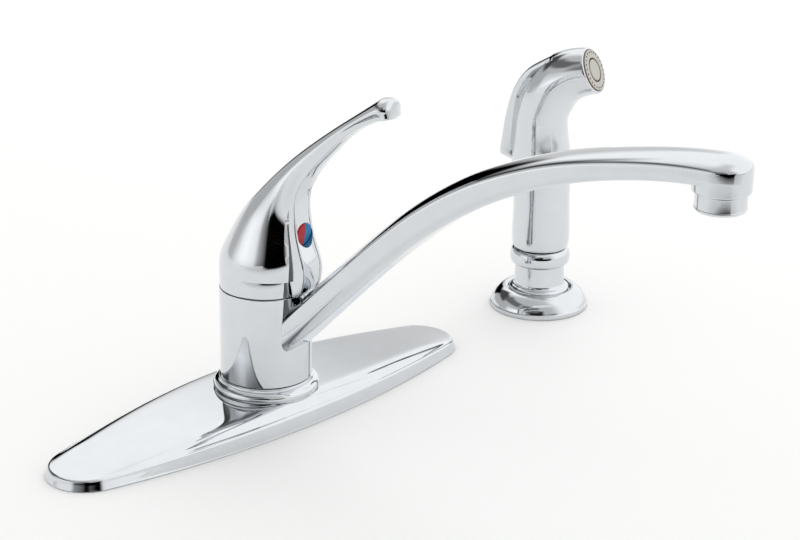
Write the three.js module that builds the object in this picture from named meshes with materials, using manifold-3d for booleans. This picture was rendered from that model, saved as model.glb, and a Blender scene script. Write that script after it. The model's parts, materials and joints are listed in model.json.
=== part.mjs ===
// Side spray kitchen faucet: deck plate, single-lever mixer with swing spout, hand spray in its holder.
// Millimetres, +Z up. The mixer's axis stands on the origin, the deck is z = 0, +X runs along the
// deck plate towards the hand spray and -Y is the front, over the sink.
import * as THREE from 'three';
import { mergeVertices } from 'three/addons/utils/BufferGeometryUtils.js';
import Module from 'manifold-3d';

const wasm = await Module();
wasm.setup();

// ---- driving dimensions -------------------------------------------------------------------
const REST_TURN = 8.5;            // degrees the spout and lever are swung from straight ahead
const CLEAR = 0.3;                // gap between pieces that rest on or run in one another
const SEG = 32;                   // facets round the large turned pieces
const SEG_SMALL = 16;             // facets round the small turned pieces

// oval plate: its side leans in to a rim that is higher at mid-length, then a rounded shoulder
// and a domed top; its centre lies a little behind the mixer's axis
const PLATE = { halfLength: 129.5, halfWidth: 33.4, centreY: 2.6, endRadius: 20, lean: 1.2, rim: 3.2,
  rimRise: 3.1, shoulder: 1.5, dome: 5.3, wall: 1.8 };
const CREST = PLATE.rim + PLATE.rimRise + PLATE.shoulder + PLATE.dome;
const CAVITY = { r: 15.6, floor: 42.4 };        // chamber of the cartridge
const BODY = { r: CAVITY.r + 3, shank: CAVITY.r + 1.2, flange: CAVITY.r + 5, flangeTop: 15.6,
  top: 71.6 };
const SEAL = { low: 23, high: 60, thick: 0.8, r: BODY.r - 0.75, groove: BODY.r - 1.7 };
const WATERWAY = { low: 35.5, high: 56.6, r: BODY.r - 1.3 };
const HUB_WALL = 3.45;
const HUB = { r: BODY.r + 0.35 + HUB_WALL, bottom: 19.6, top: 65.1, bore: BODY.r + 0.35 };
const SWIVEL = { in: HUB.bore + 0.25, out: HUB.bore + 1.95, seat: HUB.bore + 2.25, thick: 1.3 };
const PIVOT_Z = 67;               // height of the lever's tilt axis
const CAP = { r: HUB.r - 0.2, bottom: HUB.top + 0.4, sphere: HUB.r + 0.7, wall: 1.8, opening: 12.4 };
const HANDLE_CAVITY = CAP.sphere + 0.5;
const DOME = HUB.r + 0.1;         // foot of the lever's casting
const STEM_TILT = 11;             // degrees the stem leans forward with the lever down
const AERATOR = { s: 242.5, r: 11.25, bottom: 154.9, neck: 9.3, thread: 9.8, bore: 8.9 };
const NOSE = { r: 12.9, bottom: 163.4, seat: 168.4, top: 172 };

const SPRAY_X = 203.2;            // hand spray hole, two hole pitches from the mixer
const SPRAY_TURN = 19;            // degrees the spray head is turned from straight ahead
const FLANGE = { r: 26.7, rim: 2.2, top: 10.6, throat: 16.6 };
const GUIDE = { r: 13.5, bore: 9.2, ring: 16.2, ringLow: 24.6, ringHigh: 33.6 };
const SPRAY_BODY = { bottom: 34.2, bore: 7.2, groove: 8.4 };
const COUPLING = { low: 22, neck: 5.6, shoulder: 38.2, r: 6.8, top: 47 };
const CLIP_Z = COUPLING.shoulder - 1.6;      // clip under the shoulder
const WASHER_SEAT = COUPLING.top + 2.8;
const SPRAY_VALVE_Z = 104;
const TRIGGER_PIN = { s: 0, z: 130.0, r: 1.3, length: 20.4 };
const TRIGGER_WIDTH = 14.6;
const FACE = { s: 27.0, z: 136.3, tilt: 22.6 };
const NOZZLE = { r: 11.4, insert: 5.2 };

// ---- materials ----------------------------------------------------------------------------
const paint = (name, color, roughness, metalness) =>
  Object.assign(new THREE.MeshStandardMaterial({ color, roughness, metalness }), { name });
const MAT = {
  chrome: paint('polished_chrome', 0xd9dcdf, 0.06, 1.0),
  brass: paint('raw_brass', 0xb5925a, 0.38, 1.0),
  steel: paint('stainless_steel', 0xb9bcc0, 0.3, 1.0),
  rubber: paint('black_rubber', 0x202122, 0.85, 0.0),
  acetal: paint('white_acetal', 0xe6e4dc, 0.45, 0.0),
  darkPlastic: paint('grey_plastic', 0x55585b, 0.5, 0.0),
  ceramic: paint('white_ceramic', 0xf0efe9, 0.2, 0.0),
  button: paint('index_button', 0xb0252b, 0.3, 0.0),
  face: paint('spray_face_plastic', 0xc4c1ba, 0.45, 0.0),
};

// ---- solids -------------------------------------------------------------------------------
const rad = (deg) => (deg * Math.PI) / 180;

// a closed triangle geometry as a solid that can be cut and joined
function solid(geometry) {
  const g = geometry.index ? geometry.toNonIndexed() : geometry;
  const bare = new THREE.BufferGeometry();
  bare.setAttribute('position', g.getAttribute('position').clone());
  const m = mergeVertices(bare, 1e-5);
  return new wasm.Manifold(new wasm.Mesh({
    numProp: 3,
    vertProperties: new Float32Array(m.getAttribute('position').array),
    triVerts: new Uint32Array(m.index.array),
  }));
}

const moved = (s, x, y, z) => s.translate([x, y, z]);

// turned solid from an [r, z] outline that starts and ends on the axis or closes on itself
function turned(outline, seg = SEG) {
  const pts = outline.map(([r, z]) => new THREE.Vector2(r, z));
  const onAxis = outline[0][0] === 0 && outline[outline.length - 1][0] === 0;
  if (!onAxis) pts.push(pts[0].clone());
  const area = pts.reduce((t, p, i) => {
    const q = pts[(i + 1) % pts.length];
    return t + p.x * q.y - q.x * p.y;
  }, 0);
  if (area < 0) pts.reverse();
  const g = new THREE.LatheGeometry(pts, seg);
  g.rotateX(Math.PI / 2);
  const s = solid(g);
  return s.volume() < 0 ? solid(g.scale(1, 1, -1)) : s;
}

const disc = (r, z0, z1, seg = SEG_SMALL) => turned([[0, z0], [r, z0], [r, z1], [0, z1]], seg);
const ring = (r0, r1, z0, z1, seg = SEG) => turned([[r0, z0], [r1, z0], [r1, z1], [r0, z1]], seg);

function box(x0, x1, y0, y1, z0, z1) {
  const g = new THREE.BoxGeometry(x1 - x0, y1 - y0, z1 - z0);
  g.translate((x0 + x1) / 2, (y0 + y1) / 2, (z0 + z1) / 2);
  return solid(g);
}

// round rod from point a to point b
function rod(a, b, r, seg = SEG_SMALL) {
  const from = new THREE.Vector3(...a);
  const along = new THREE.Vector3(...b).sub(from);
  const g = new THREE.CylinderGeometry(r, r, along.length(), seg);
  g.translate(0, along.length() / 2, 0);
  g.applyQuaternion(new THREE.Quaternion().setFromUnitVectors(
    new THREE.Vector3(0, 1, 0), along.clone().normalize()));
  g.translate(from.x, from.y, from.z);
  return solid(g);
}

function ball(r, x, y, z, seg = 28) {
  const g = new THREE.SphereGeometry(r, seg, Math.round(seg / 2));
  g.rotateX(Math.PI / 2);
  g.translate(x, y, z);
  return solid(g);
}

// rubber ring of round section lying flat at height z
function oRing(r, thick, z, seg = 24) {
  const around = Array.from({ length: 6 }, (_, i) => rad(60 * i));
  return turned(around.map((t) => [r + thick * Math.cos(t), z + thick * Math.sin(t)]), seg);
}

// skin over closed rings of equal point count, ends closed by fans
function skin(rings) {
  const n = rings[0].length;
  const mid = (loop) => loop.reduce((c, p) => c.add(p), new THREE.Vector3()).multiplyScalar(1 / n);
  const tri = [];
  const put = (...ps) => ps.forEach((p) => tri.push(p.x, p.y, p.z));
  rings.slice(1).forEach((b, k) => {
    const a = rings[k];
    for (let i = 0; i < n; i += 1) {
      const j = (i + 1) % n;
      put(a[i], a[j], b[j]);
      put(a[i], b[j], b[i]);
    }
  });
  const first = rings[0];
  const last = rings[rings.length - 1];
  const c0 = mid(first);
  const c1 = mid(last);
  for (let i = 0; i < n; i += 1) {
    const j = (i + 1) % n;
    put(c0, first[j], first[i]);
    put(c1, last[i], last[j]);
  }
  const g = new THREE.BufferGeometry();
  g.setAttribute('position', new THREE.Float32BufferAttribute(tri, 3));
  const s = solid(g);
  return s.volume() > 0 ? s : solid(g.scale(-1, 1, 1));
}

// point from forward distance s, height z and sideways x; forward is -Y
const at = (s, z, x = 0) => new THREE.Vector3(x, -s, z);

// rounded section between a rear and a front point of the side view, b wide each way
function oval(rear, front, b, power = 2.3, n = 20) {
  const c = [(rear[0] + front[0]) / 2, (rear[1] + front[1]) / 2];
  const h = [(front[0] - rear[0]) / 2, (front[1] - rear[1]) / 2];
  const bend = (v) => Math.sign(v) * Math.abs(v) ** (2 / power);
  return Array.from({ length: n }, (_, i) => {
    const t = (2 * Math.PI * (i + 0.5)) / n;
    const u = bend(Math.cos(t));
    return at(c[0] + h[0] * u, c[1] + h[1] * u, b * bend(Math.sin(t)));
  });
}

// ---- deck plate ---------------------------------------------------------------------------
// outline of two long side arcs meeting round ends, shrunk by an inset
function plateOutline(inset, perSide = 9, perEnd = 8) {
  const a = PLATE.halfLength;
  const b = PLATE.halfWidth;
  const r = PLATE.endRadius;
  const big = ((a - r) ** 2 + b ** 2 - r ** 2) / (2 * (b - r));
  const turn = Math.asin((a - r) / (big - r));
  const arcTo = (cx, cy, rr, from, to, n) => Array.from({ length: n }, (_, i) => {
    const t = from + ((to - from) * i) / n;
    return [cx + (rr - inset) * Math.cos(t), cy + (rr - inset) * Math.sin(t)];
  });
  const q = Math.PI / 2;
  return [
    ...arcTo(a - r, 0, r, -(q - turn), q - turn, perEnd),
    ...arcTo(0, b - big, big, q - turn, q + turn, perSide),
    ...arcTo(r - a, 0, r, q + turn, 3 * q - turn, perEnd),
    ...arcTo(0, big - b, big, 3 * q - turn, 3 * q + turn, perSide),
  ];
}

const rimAt = (x) => PLATE.rim + PLATE.rimRise * (1 - (x / PLATE.halfLength) ** 2);

// height of the domed top, k of the way out from the plate's centre to its shoulder
const domeAt = (x, k) => rimAt(x) + PLATE.shoulder
  + PLATE.dome * (1 - k ** 5) * (1 - (x / PLATE.halfLength) ** 2);

function plateSolid(grow, drop, floor) {
  const lift = (loop, height) => loop.map(([x, y]) => new THREE.Vector3(x, y, height(x) - drop));
  const side = plateOutline(grow + PLATE.lean);
  const edge = plateOutline(grow + PLATE.lean + PLATE.shoulder);
  const scaled = (k) => edge.map(([x, y]) => [x * k, y * k]);
  return moved(skin([
    lift(plateOutline(grow), () => floor + drop),
    lift(plateOutline(grow), () => 0.6 + drop),
    lift(side, rimAt),
    lift(plateOutline(grow + PLATE.lean + 0.3 * PLATE.shoulder), (x) => rimAt(x) + 0.7 * PLATE.shoulder),
    lift(edge, (x) => rimAt(x) + PLATE.shoulder),
    ...[0.88, 0.72, 0.5, 0.25].map((k) => lift(scaled(k), (x) => domeAt(x, k))),
  ]), 0, PLATE.centreY, 0);
}

const deckPlate = () => plateSolid(0, 0, 0)
  .subtract(plateSolid(PLATE.wall, PLATE.wall, -2))
  .subtract(disc(BODY.shank + CLEAR, -1, CREST + 5, SEG));

function deckGasket() {
  const sheet = (grow, z0, z1) => skin([z0, z1].map((z) =>
    plateOutline(grow).map(([x, y]) => new THREE.Vector3(x, y + PLATE.centreY, z))));
  const edge = PLATE.wall + 1.15;
  return sheet(edge, 0, 1.2).subtract(sheet(edge + 7, -1, 3));
}

// ---- mixer body and spout -----------------------------------------------------------------
// turned ring whose foot follows the crown of the plate
const baseRing = () => turned([[BODY.flange + CLEAR, CREST - 4], [HUB.r + 3.1, CREST - 4],
  [HUB.r + 3.4, CREST + 1.6], [HUB.r + 2.9, CREST + 3.0], [HUB.r + 1.8, CREST + 4.1],
  [HUB.r + 0.7, CREST + 5.0], [HUB.r + 0.4, HUB.bottom - 0.4],
  [BODY.r + CLEAR, HUB.bottom - 0.4], [BODY.r + CLEAR, BODY.flangeTop + 0.4],
  [BODY.flange + CLEAR, BODY.flangeTop + 0.4]])
  .subtract(plateSolid(0, -CLEAR, -1));

const PORTS = { hot: [-7, -3], cold: [7, -3], mixed: [0, 7.2], r: 3.1 };
const DIVERTER = { z: 30, r: 5, from: BODY.r + 0.9, to: 1.5 };

function valveBody() {
  const groove = (z) => [[BODY.r, z - 1.25], [SEAL.groove, z - 1.25], [SEAL.groove, z + 1.25],
    [BODY.r, z + 1.25]];
  let s = turned([[0, 0], [BODY.shank, 0], [BODY.shank, CREST + CLEAR], [BODY.flange, CREST + CLEAR],
    [BODY.flange, BODY.flangeTop], [BODY.r, BODY.flangeTop], ...groove(SEAL.low), [BODY.r, WATERWAY.low],
    [WATERWAY.r, WATERWAY.low + 0.8], [WATERWAY.r, WATERWAY.high - 0.8], [BODY.r, WATERWAY.high],
    ...groove(SEAL.high), [BODY.r, BODY.top], [0, BODY.top]], 28);
  s = s.subtract(disc(CAVITY.r, CAVITY.floor, BODY.top + 1, SEG));
  for (const [x, f] of [PORTS.hot, PORTS.cold]) {
    s = s.subtract(moved(disc(PORTS.r, -1, CAVITY.floor + 1), x, -f, 0));
  }
  s = s.subtract(moved(disc(PORTS.r, DIVERTER.z, CAVITY.floor + 1), 0, -PORTS.mixed[1], 0));
  // diverter chamber, its outlet up to the waterway and the way down to the spray hose
  s = s.subtract(rod([0, -DIVERTER.from, DIVERTER.z], [0, -DIVERTER.to, DIVERTER.z], DIVERTER.r));
  s = s.subtract(rod([0, -DIVERTER.to - 1, DIVERTER.z], [0, 9, DIVERTER.z], 2.2));
  s = s.subtract(moved(disc(2.8, -1, DIVERTER.z), 0, 9, 0));
  return s.subtract(box(-3.5, 3.5, -BODY.r - 1, 0.1 - WATERWAY.r, DIVERTER.z, WATERWAY.low + 3));
}

// side view of the spout arm: forward s, height z of its underside, slope, half width,
// height of the side wall, rise of the crowned top and radius of the lower corners
const ARM = [
  [10, 27.3, 44, 11.6, 12.6, 4.0, 5.0], [22, 38.8, 44, 11.8, 12.6, 4.0, 5.5],
  [40, 57.0, 44.5, 11.8, 12.2, 3.9, 6.0], [57, 74.4, 45, 11.8, 11.9, 3.8, 6.5],
  [73, 90.2, 43, 11.8, 11.9, 3.6, 6.5], [87, 103.0, 41, 11.8, 12.1, 3.5, 6.5],
  [101, 114.6, 38.5, 11.8, 12.4, 3.6, 6.3], [115.4, 125.2, 34.5, 11.8, 12.2, 3.5, 6.0],
  [128, 133.3, 31, 11.8, 11.8, 3.4, 5.5], [142, 141.1, 27.5, 11.8, 11.2, 3.0, 5.0],
  [166, 152.0, 21, 12, 10.1, 3.0, 4.2], [191, 159.6, 14.5, 12.2, 8.9, 2.9, 3.6],
  [215, 164.6, 9, 12.5, 8.3, 3.4, 3.2], [232, 166.6, 5, 12.8, 8.2, 4.0, 3.2],
];
const ARM_WALL = 1.5;

function armRing([s, z, slope, a, h, d, corner = 3.2], inner = 0) {
  const c = Math.cos(rad(slope));
  const k = Math.sin(rad(slope));
  const w = a - inner;
  const low = inner;
  const top = h + 0.4 * inner;
  const round = Math.max(1.2, corner - inner);
  const pts = [];
  for (const side of [1, -1]) {
    const half = [];
    for (const t of [0, 45, 90]) {
      half.push([w - round + round * Math.sin(rad(t)), low + round - round * Math.cos(rad(t))]);
    }
    for (const t of [0, 22, 45, 67, 90]) {
      const rise = Math.max(0.8, d - 0.9 * inner);
      half.push([w * Math.cos(rad(t)) ** 0.8, top - inner * 0.9 + rise * Math.sin(rad(t)) ** 1.1]);
    }
    if (side < 0) half.pop();
    pts.push(...(side > 0 ? half : half.reverse()).map(([x, y]) => [side * x, y]));
  }
  return pts.map(([x, y]) => at(s - y * k, z + y * c, x));
}

function spoutArm(inner) {
  const rings = ARM.map((row) => armRing(row, inner));
  const tip = AERATOR.s;
  const end = inner ? [0, 30, 55, 75] : [0, 25, 45, 62, 76, 86];
  for (const t of end) {
    const a = (NOSE.r) * Math.cos(rad(t)) + inner * (1 - Math.cos(rad(t)));
    const s = tip + (NOSE.r - inner) * Math.sin(rad(t));
    const rise = 4.2 * (0.25 + 0.75 * Math.cos(rad(t)));
    rings.push(armRing([s, 167.2 - 0.02 * (s - tip), 0.5, Math.max(a, inner + 1.6), 8.1, rise], inner));
  }
  return skin(rings);
}

function spout() {
  const hub = disc(HUB.r, HUB.bottom, HUB.top, SEG);
  const nose = moved(disc(NOSE.r - 0.1, NOSE.bottom, NOSE.top, 32), 0, -AERATOR.s, 0);
  const way = spoutArm(ARM_WALL);
  const socket = moved(disc(AERATOR.thread + CLEAR, NOSE.bottom - 1, NOSE.seat, 32)
    .add(disc(AERATOR.bore - CLEAR, NOSE.bottom, NOSE.top + 1, 32)), 0, -AERATOR.s, 0);
  return hub.add(spoutArm(0)).add(nose)
    .subtract(way).subtract(socket)
    .subtract(disc(HUB.bore, HUB.bottom - 1, HUB.top + 1, SEG))
    .subtract(ring(HUB.bore - 1, SWIVEL.seat, HUB.bottom - 1, HUB.bottom + SWIVEL.thick));
}

// ---- aerator ------------------------------------------------------------------------------
const atTip = (s) => moved(s, 0, -AERATOR.s, 0);
const THREAD_TOP = NOSE.seat - 1.4;
const INSERT_R = AERATOR.bore - 0.4;
const aeratorShell = () => atTip(turned([[AERATOR.neck - 0.9, AERATOR.bottom],
  [AERATOR.r - 1, AERATOR.bottom], [AERATOR.r, AERATOR.bottom + 1.1], [AERATOR.r, NOSE.bottom - CLEAR],
  [AERATOR.thread, NOSE.bottom - CLEAR], [AERATOR.thread, THREAD_TOP], [AERATOR.bore, THREAD_TOP],
  [AERATOR.bore, AERATOR.bottom + 1], [AERATOR.neck - 0.9, AERATOR.bottom + 1]], 32));
const aeratorInsert = () => {
  let s = atTip(disc(INSERT_R, AERATOR.bottom + 1.3, NOSE.bottom - 0.2, 24));
  for (let i = 0; i < 6; i += 1) {
    s = s.subtract(atTip(moved(disc(2.1, 150, 170, 8), 5.3 * Math.cos(rad(60 * i)),
      5.3 * Math.sin(rad(60 * i)), 0)));
  }
  return s;
};
const aeratorScreen = () => atTip(disc(INSERT_R, NOSE.bottom + 0.1, NOSE.bottom + 0.9, 24));
const aeratorWasher = () => atTip(ring(5.6, INSERT_R - 0.1, NOSE.bottom + 1.2, THREAD_TOP - 0.1, 24));

// ---- cartridge ----------------------------------------------------------------------------
const STEM = { half: 3.3, top: 92.5, ball: 3.0, reach: 9.2 };
// heights inside the cartridge, and its radii from the chamber's
const CART = { disc0: 46.6, disc1: 50.2, disc2: 53.8, carrier: 57.4, rotor: 58.6,
  shoulder: 69.3, roof: 71.8 };
const CART_R = { out: CAVITY.r - CLEAR, bore: CAVITY.r - 2.6, neck: CAVITY.r - 6, disc: CAVITY.r - 3.2 };
const threePorts = (s, r, z0, z1) => Object.values({ a: PORTS.hot, b: PORTS.cold, c: PORTS.mixed })
  .reduce((acc, [x, f]) => acc.subtract(moved(disc(r, z0, z1, 14), x, -f, 0)), s);
const portSeal = ([x, f]) => moved(oRing(4.15, 0.55, CAVITY.floor + 0.85, 12), x, -f, 0);

const cartridgeBase = () => {
  const cup = disc(CART_R.out, CAVITY.floor + CLEAR, CART.disc0 - CLEAR, 32);
  let s = threePorts(cup, PORTS.r, 40, 50);
  for (const [x, f] of [PORTS.hot, PORTS.cold, PORTS.mixed]) {
    s = s.subtract(moved(ring(3.3, 5.0, 40, CAVITY.floor + 1.7, 16), x, -f, 0));
    s = s.subtract(moved(disc(3.4, 40, CAVITY.floor + 1.7, 14), x, -f, 0));
  }
  return s;
};
// the sliding disc sits this far back with the lever down
const slideBack = STEM.reach * Math.sin(rad(STEM_TILT));
const fixedDisc = () => threePorts(disc(CART_R.disc, CART.disc0, CART.disc1 - 0.1, 32), PORTS.r, 40, 55);
const movingDisc = () => moved(disc(CART_R.neck, CART.disc1 + 0.1, CART.disc2 - CLEAR, 28)
  .subtract(moved(disc(4.6, 45, CART.disc1 + 2, 14), 0, 1.5, 0)), 0, slideBack, 0);
const discCarrier = () => moved(disc(CART_R.neck, CART.disc2, CART.carrier, 28)
  .subtract(box(-3.4, 3.4, -3.4, 3.4, CART.disc2 + 0.8, 60)), 0, slideBack, 0);
const cartridgeHousing = () => turned([[CART_R.bore, CART.disc0], [CART_R.out, CART.disc0],
  [CART_R.out, CART.roof], [CART_R.neck, CART.roof], [CART_R.neck, CART.shoulder],
  [CART_R.bore, CART.shoulder]], 36);
const rotor = () => turned([[0, CART.rotor], [CART_R.bore - CLEAR, CART.rotor],
  [CART_R.bore - CLEAR, CART.shoulder - CLEAR], [CART_R.neck - CLEAR, CART.shoulder - CLEAR],
  [CART_R.neck - CLEAR, CART.roof + 1.6], [0, CART.roof + 1.6]], 32)
  .subtract(box(-3.9, 3.9, -6.2, 6.2, CART.rotor - 1, CART.roof + 3))
  .subtract(rod([-CAVITY.r, 0, PIVOT_Z], [CAVITY.r, 0, PIVOT_Z], 1.8, 12));
const pivotPin = () => rod([1 - CART_R.bore, 0, PIVOT_Z], [CART_R.bore - 1, 0, PIVOT_Z], 1.5, 12);
const bonnetNut = () => disc(CART_R.out, CART.roof + CLEAR, CART.roof + 4.4, 6)
  .add(disc(CART_R.out - 1.5, CART.roof + CLEAR, CART.roof + 4.4, 30))
  .subtract(disc(CART_R.neck + 0.2, CART.roof, CART.roof + 6, 30));

// stem built upright on the pivot, then leaned forward
const lean = (s, deg) => moved(moved(s, 0, 0, -PIVOT_Z).rotate([deg, 0, 0]), 0, 0, PIVOT_Z);
const leverStem = () => lean(box(-STEM.half, STEM.half, -3.2, 3.2, PIVOT_Z - 5, STEM.top)
  .add(disc(2.3, PIVOT_Z - STEM.reach, PIVOT_Z - 4, 12))
  .add(ball(STEM.ball, 0, 0, PIVOT_Z - STEM.reach, 14))
  .subtract(rod([-5, 0, PIVOT_Z], [5, 0, PIVOT_Z], 1.8, 12)), STEM_TILT);

// ---- trim cap and lever handle --------------------------------------------------------------
function trimCap() {
  const shell = disc(CAP.r, CAP.bottom, PIVOT_Z + CAP.sphere, SEG)
    .intersect(ball(CAP.sphere, 0, 0, PIVOT_Z, 26));
  const hollow = disc(CAP.r - CAP.wall, PIVOT_Z - 1, PIVOT_Z + CAP.sphere, SEG)
    .intersect(ball(CAP.sphere - CAP.wall, 0, 0, PIVOT_Z, 26));
  return shell.subtract(hollow)
    .subtract(disc(BODY.r + CLEAR, CAP.bottom - 2, BODY.top + 1.2, SEG))
    .subtract(disc(CAP.opening, 70, 100, 32));
}

// rear point, front point and half width of the casting, from the dome's foot to the lever tip
const HORN = [
  [[-DOME, 78], [DOME, 78], DOME], [[0.5 - DOME, 82], [DOME - 0.1, 82], DOME - 0.4],
  [[3 - DOME, 87.4], [DOME - 0.5, 86.5], DOME - 1.7],
  [[-13.9, 97.3], [20.6, 95], 18.0], [[-8.3, 106], [19.8, 103], 15.8], [[-2.8, 112.4], [20.4, 109], 13.6],
  [[3.3, 118.8], [22.5, 115], 11.2], [[9.5, 125.3], [25.8, 121], 9.0], [[21.5, 136.2], [31.3, 129.8], 7.2],
  [[33.3, 145.4], [39.8, 138.6], 6.4], [[45, 154.2], [49.6, 149.2], 6.2],
  [[56.5, 162.2], [59.6, 156.4], 6.8], [[67.7, 170], [69.8, 161.6], 7.9],
  [[72.6, 172.8], [74.2, 162.6], 7.8], [[74.8, 172.6], [76, 164.4], 6.0],
];
// strip that runs down the front of the casting to the seam
const STRIP = [
  [[16, 66.2], [DOME + 2.1, 66.2], 7.4], [[17, 70], [DOME + 4.6, 69.5], 7.8],
  [[17, 76], [DOME + 6.1, 75], 8.0], [[16, 84], [DOME + 6.1, 82], 8.0],
  [[14, 92], [DOME + 3.6, 89.5], 7.8], [[12, 100], [DOME + 1.4, 97], 7.2],
  [[12, 108], [23.0, 104.5], 6.6], [[14, 115], [22.6, 111.5], 6.3], [[17, 121], [24, 118], 6.2],
  [[20, 128], [26.8, 125], 6.2], [[25, 135], [31, 132], 6.2], [[31, 141], [37, 138.2], 6.2],
];
const BUTTON = { z: 96, s: DOME + 1.6, r: 5.4, tilt: -8, deep: 2.2 };

// direction of the button's axis: mostly forward, a little upward
const buttonAxis = (k) => [0, -(BUTTON.s + k * Math.cos(rad(BUTTON.tilt))),
  BUTTON.z + k * Math.sin(rad(BUTTON.tilt))];

function handle() {
  const dome = skin(HORN.map(([rear, front, b], i) => oval(rear, front, b, i < 3 ? 2 : 2.15, 26)));
  const strip = skin(STRIP.map(([rear, front, b]) => oval(rear, front, b, 3.2, 20)));
  const socket = lean(box(-STEM.half - 0.25, STEM.half + 0.25, -3.45, 3.45, 70, STEM.top + 1), STEM_TILT);
  return dome.add(strip)
    .subtract(ball(HANDLE_CAVITY, 0, 0, PIVOT_Z, 26))
    .subtract(socket)
    .subtract(rod(buttonAxis(4), buttonAxis(-BUTTON.deep), BUTTON.r + 0.2, 24))
    .subtract(rod(buttonAxis(4), buttonAxis(-24), 2.6, 14));
}
const indexButton = () => rod(buttonAxis(-0.2), buttonAxis(-BUTTON.deep + 0.2), BUTTON.r - 0.05, 24);
const handleScrew = () => rod(buttonAxis(-9.5), buttonAxis(-15.0), 2.35, 14)
  .subtract(rod(buttonAxis(-9), buttonAxis(-12), 1.3, 6));

// ---- diverter -----------------------------------------------------------------------------
const diverterBody = () => rod([0, 2 - BODY.r, DIVERTER.z], [0, 8.8 - BODY.r, DIVERTER.z], DIVERTER.r - CLEAR)
  .subtract(rod([0, -18, DIVERTER.z], [0, -8, DIVERTER.z], 2.9, 14))
  .subtract(box(-2.6, 2.6, -14.8, -12, DIVERTER.z, DIVERTER.z + 8));
const diverterPiston = () => rod([0, -15.8, DIVERTER.z], [0, -6.6, DIVERTER.z], 2.0, 14)
  .add(rod([0, -8.4, DIVERTER.z], [0, -6.6, DIVERTER.z], 4.2, 18));
const diverterSeal = () => rod([0, -6.3, DIVERTER.z], [0, -5.1, DIVERTER.z], 4.2, 18)
  .subtract(rod([0, -7, DIVERTER.z], [0, -4, DIVERTER.z], 1.2, 10));

// ---- hand spray holder --------------------------------------------------------------------
const sprayFlange = () => turned([[GUIDE.r + CLEAR, 0], [FLANGE.r, 0], [FLANGE.r, FLANGE.rim],
  [25.4, 5.0], [23.4, 7.6], [21, FLANGE.top - 0.8], [19.0, FLANGE.top], [17.4, FLANGE.top - 0.5],
  [FLANGE.throat, FLANGE.top - 1.9], [GUIDE.r + CLEAR, FLANGE.top - 1.9]])
  .subtract(turned([[GUIDE.r + 2.2, -1], [23.6, -1], [23.6, 2.6], [21.6, 5.4], [GUIDE.r + 3.2, 7],
    [GUIDE.r + 2.2, 7]]));
const sprayGasket = () => ring(GUIDE.r + 2.6, 23.2, 0, 1.2, 32);
const sprayGuide = () => turned([[GUIDE.bore, 0], [GUIDE.r, 0], [GUIDE.r, FLANGE.top - 1.6],
  [FLANGE.throat - 0.3, FLANGE.top - 1.6], [FLANGE.throat - 0.6, FLANGE.top],
  [14.2, FLANGE.top + 1.4], [GUIDE.r, FLANGE.top + 2.0], [GUIDE.r, GUIDE.ringLow],
  [GUIDE.ring - 1.3, GUIDE.ringLow + 0.5], [GUIDE.ring - 0.2, 27], [GUIDE.ring, 29.2],
  [GUIDE.ring - 0.5, 31.6], [GUIDE.ring - 1.6, GUIDE.ringHigh - 0.2], [GUIDE.ring - 2.8, GUIDE.ringHigh],
  [12.6, 32.4], [12.2, 28], [GUIDE.bore, 25]]);
// ---- hand spray ---------------------------------------------------------------------------
// centre line of the spray body: forward s, height z, slope of the section, radius and how far
// its back stands out past that radius, beside the trigger
const SPRAY = [
  [0, SPRAY_BODY.bottom, 0, 14.6, 0], [0, 36, 0, 15.2, 0], [0, 41, 0, 15.75, 0], [0, 50, 0, 15.5, 0],
  [0, 62, 0, 15.0, 0.4], [0, 72, 0, 15.1, 1.5], [0, 81, 0, 15.1, 3.0], [-0.2, 90, 0, 14.6, 2.7],
  [-0.6, 97, 2, 13.9, 2.3], [-1.0, 104, 3, 13.6, 1.6], [-0.6, 110, 10, 13.4, 1.0],
  [2.4, 118.6, 26, 14.0, 0.4], [7.0, 126.6, 44, 14.2, 0], [13.2, 131.8, 59, 13.9, 0],
  [20, 134.6, 66, 13.2, 0], [FACE.s - 0.5, FACE.z - 0.3, 90 - FACE.tilt, 12.6, 0],
];
function roundRing([s, z, slope, r, back], n = 24) {
  return Array.from({ length: n }, (_, i) => {
    const t = (2 * Math.PI * i) / n;
    const u = (Math.cos(t) < 0 ? r + back : r) * Math.cos(t);
    return at(s + u * Math.cos(rad(slope)), z - u * Math.sin(rad(slope)), r * Math.sin(t));
  });
}
const faceAxis = (k, up = 0) => [0,
  -(FACE.s + k * Math.cos(rad(FACE.tilt)) - up * Math.sin(rad(FACE.tilt))),
  FACE.z + k * Math.sin(rad(FACE.tilt)) + up * Math.cos(rad(FACE.tilt))];

// flat at the back of the body behind the trigger
const RECESS = { s: -6.6, half: 7.65, low: 76, high: 126 };
const OUTLET_S = -2.1;            // where the water leaves the valve, up to the head
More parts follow.
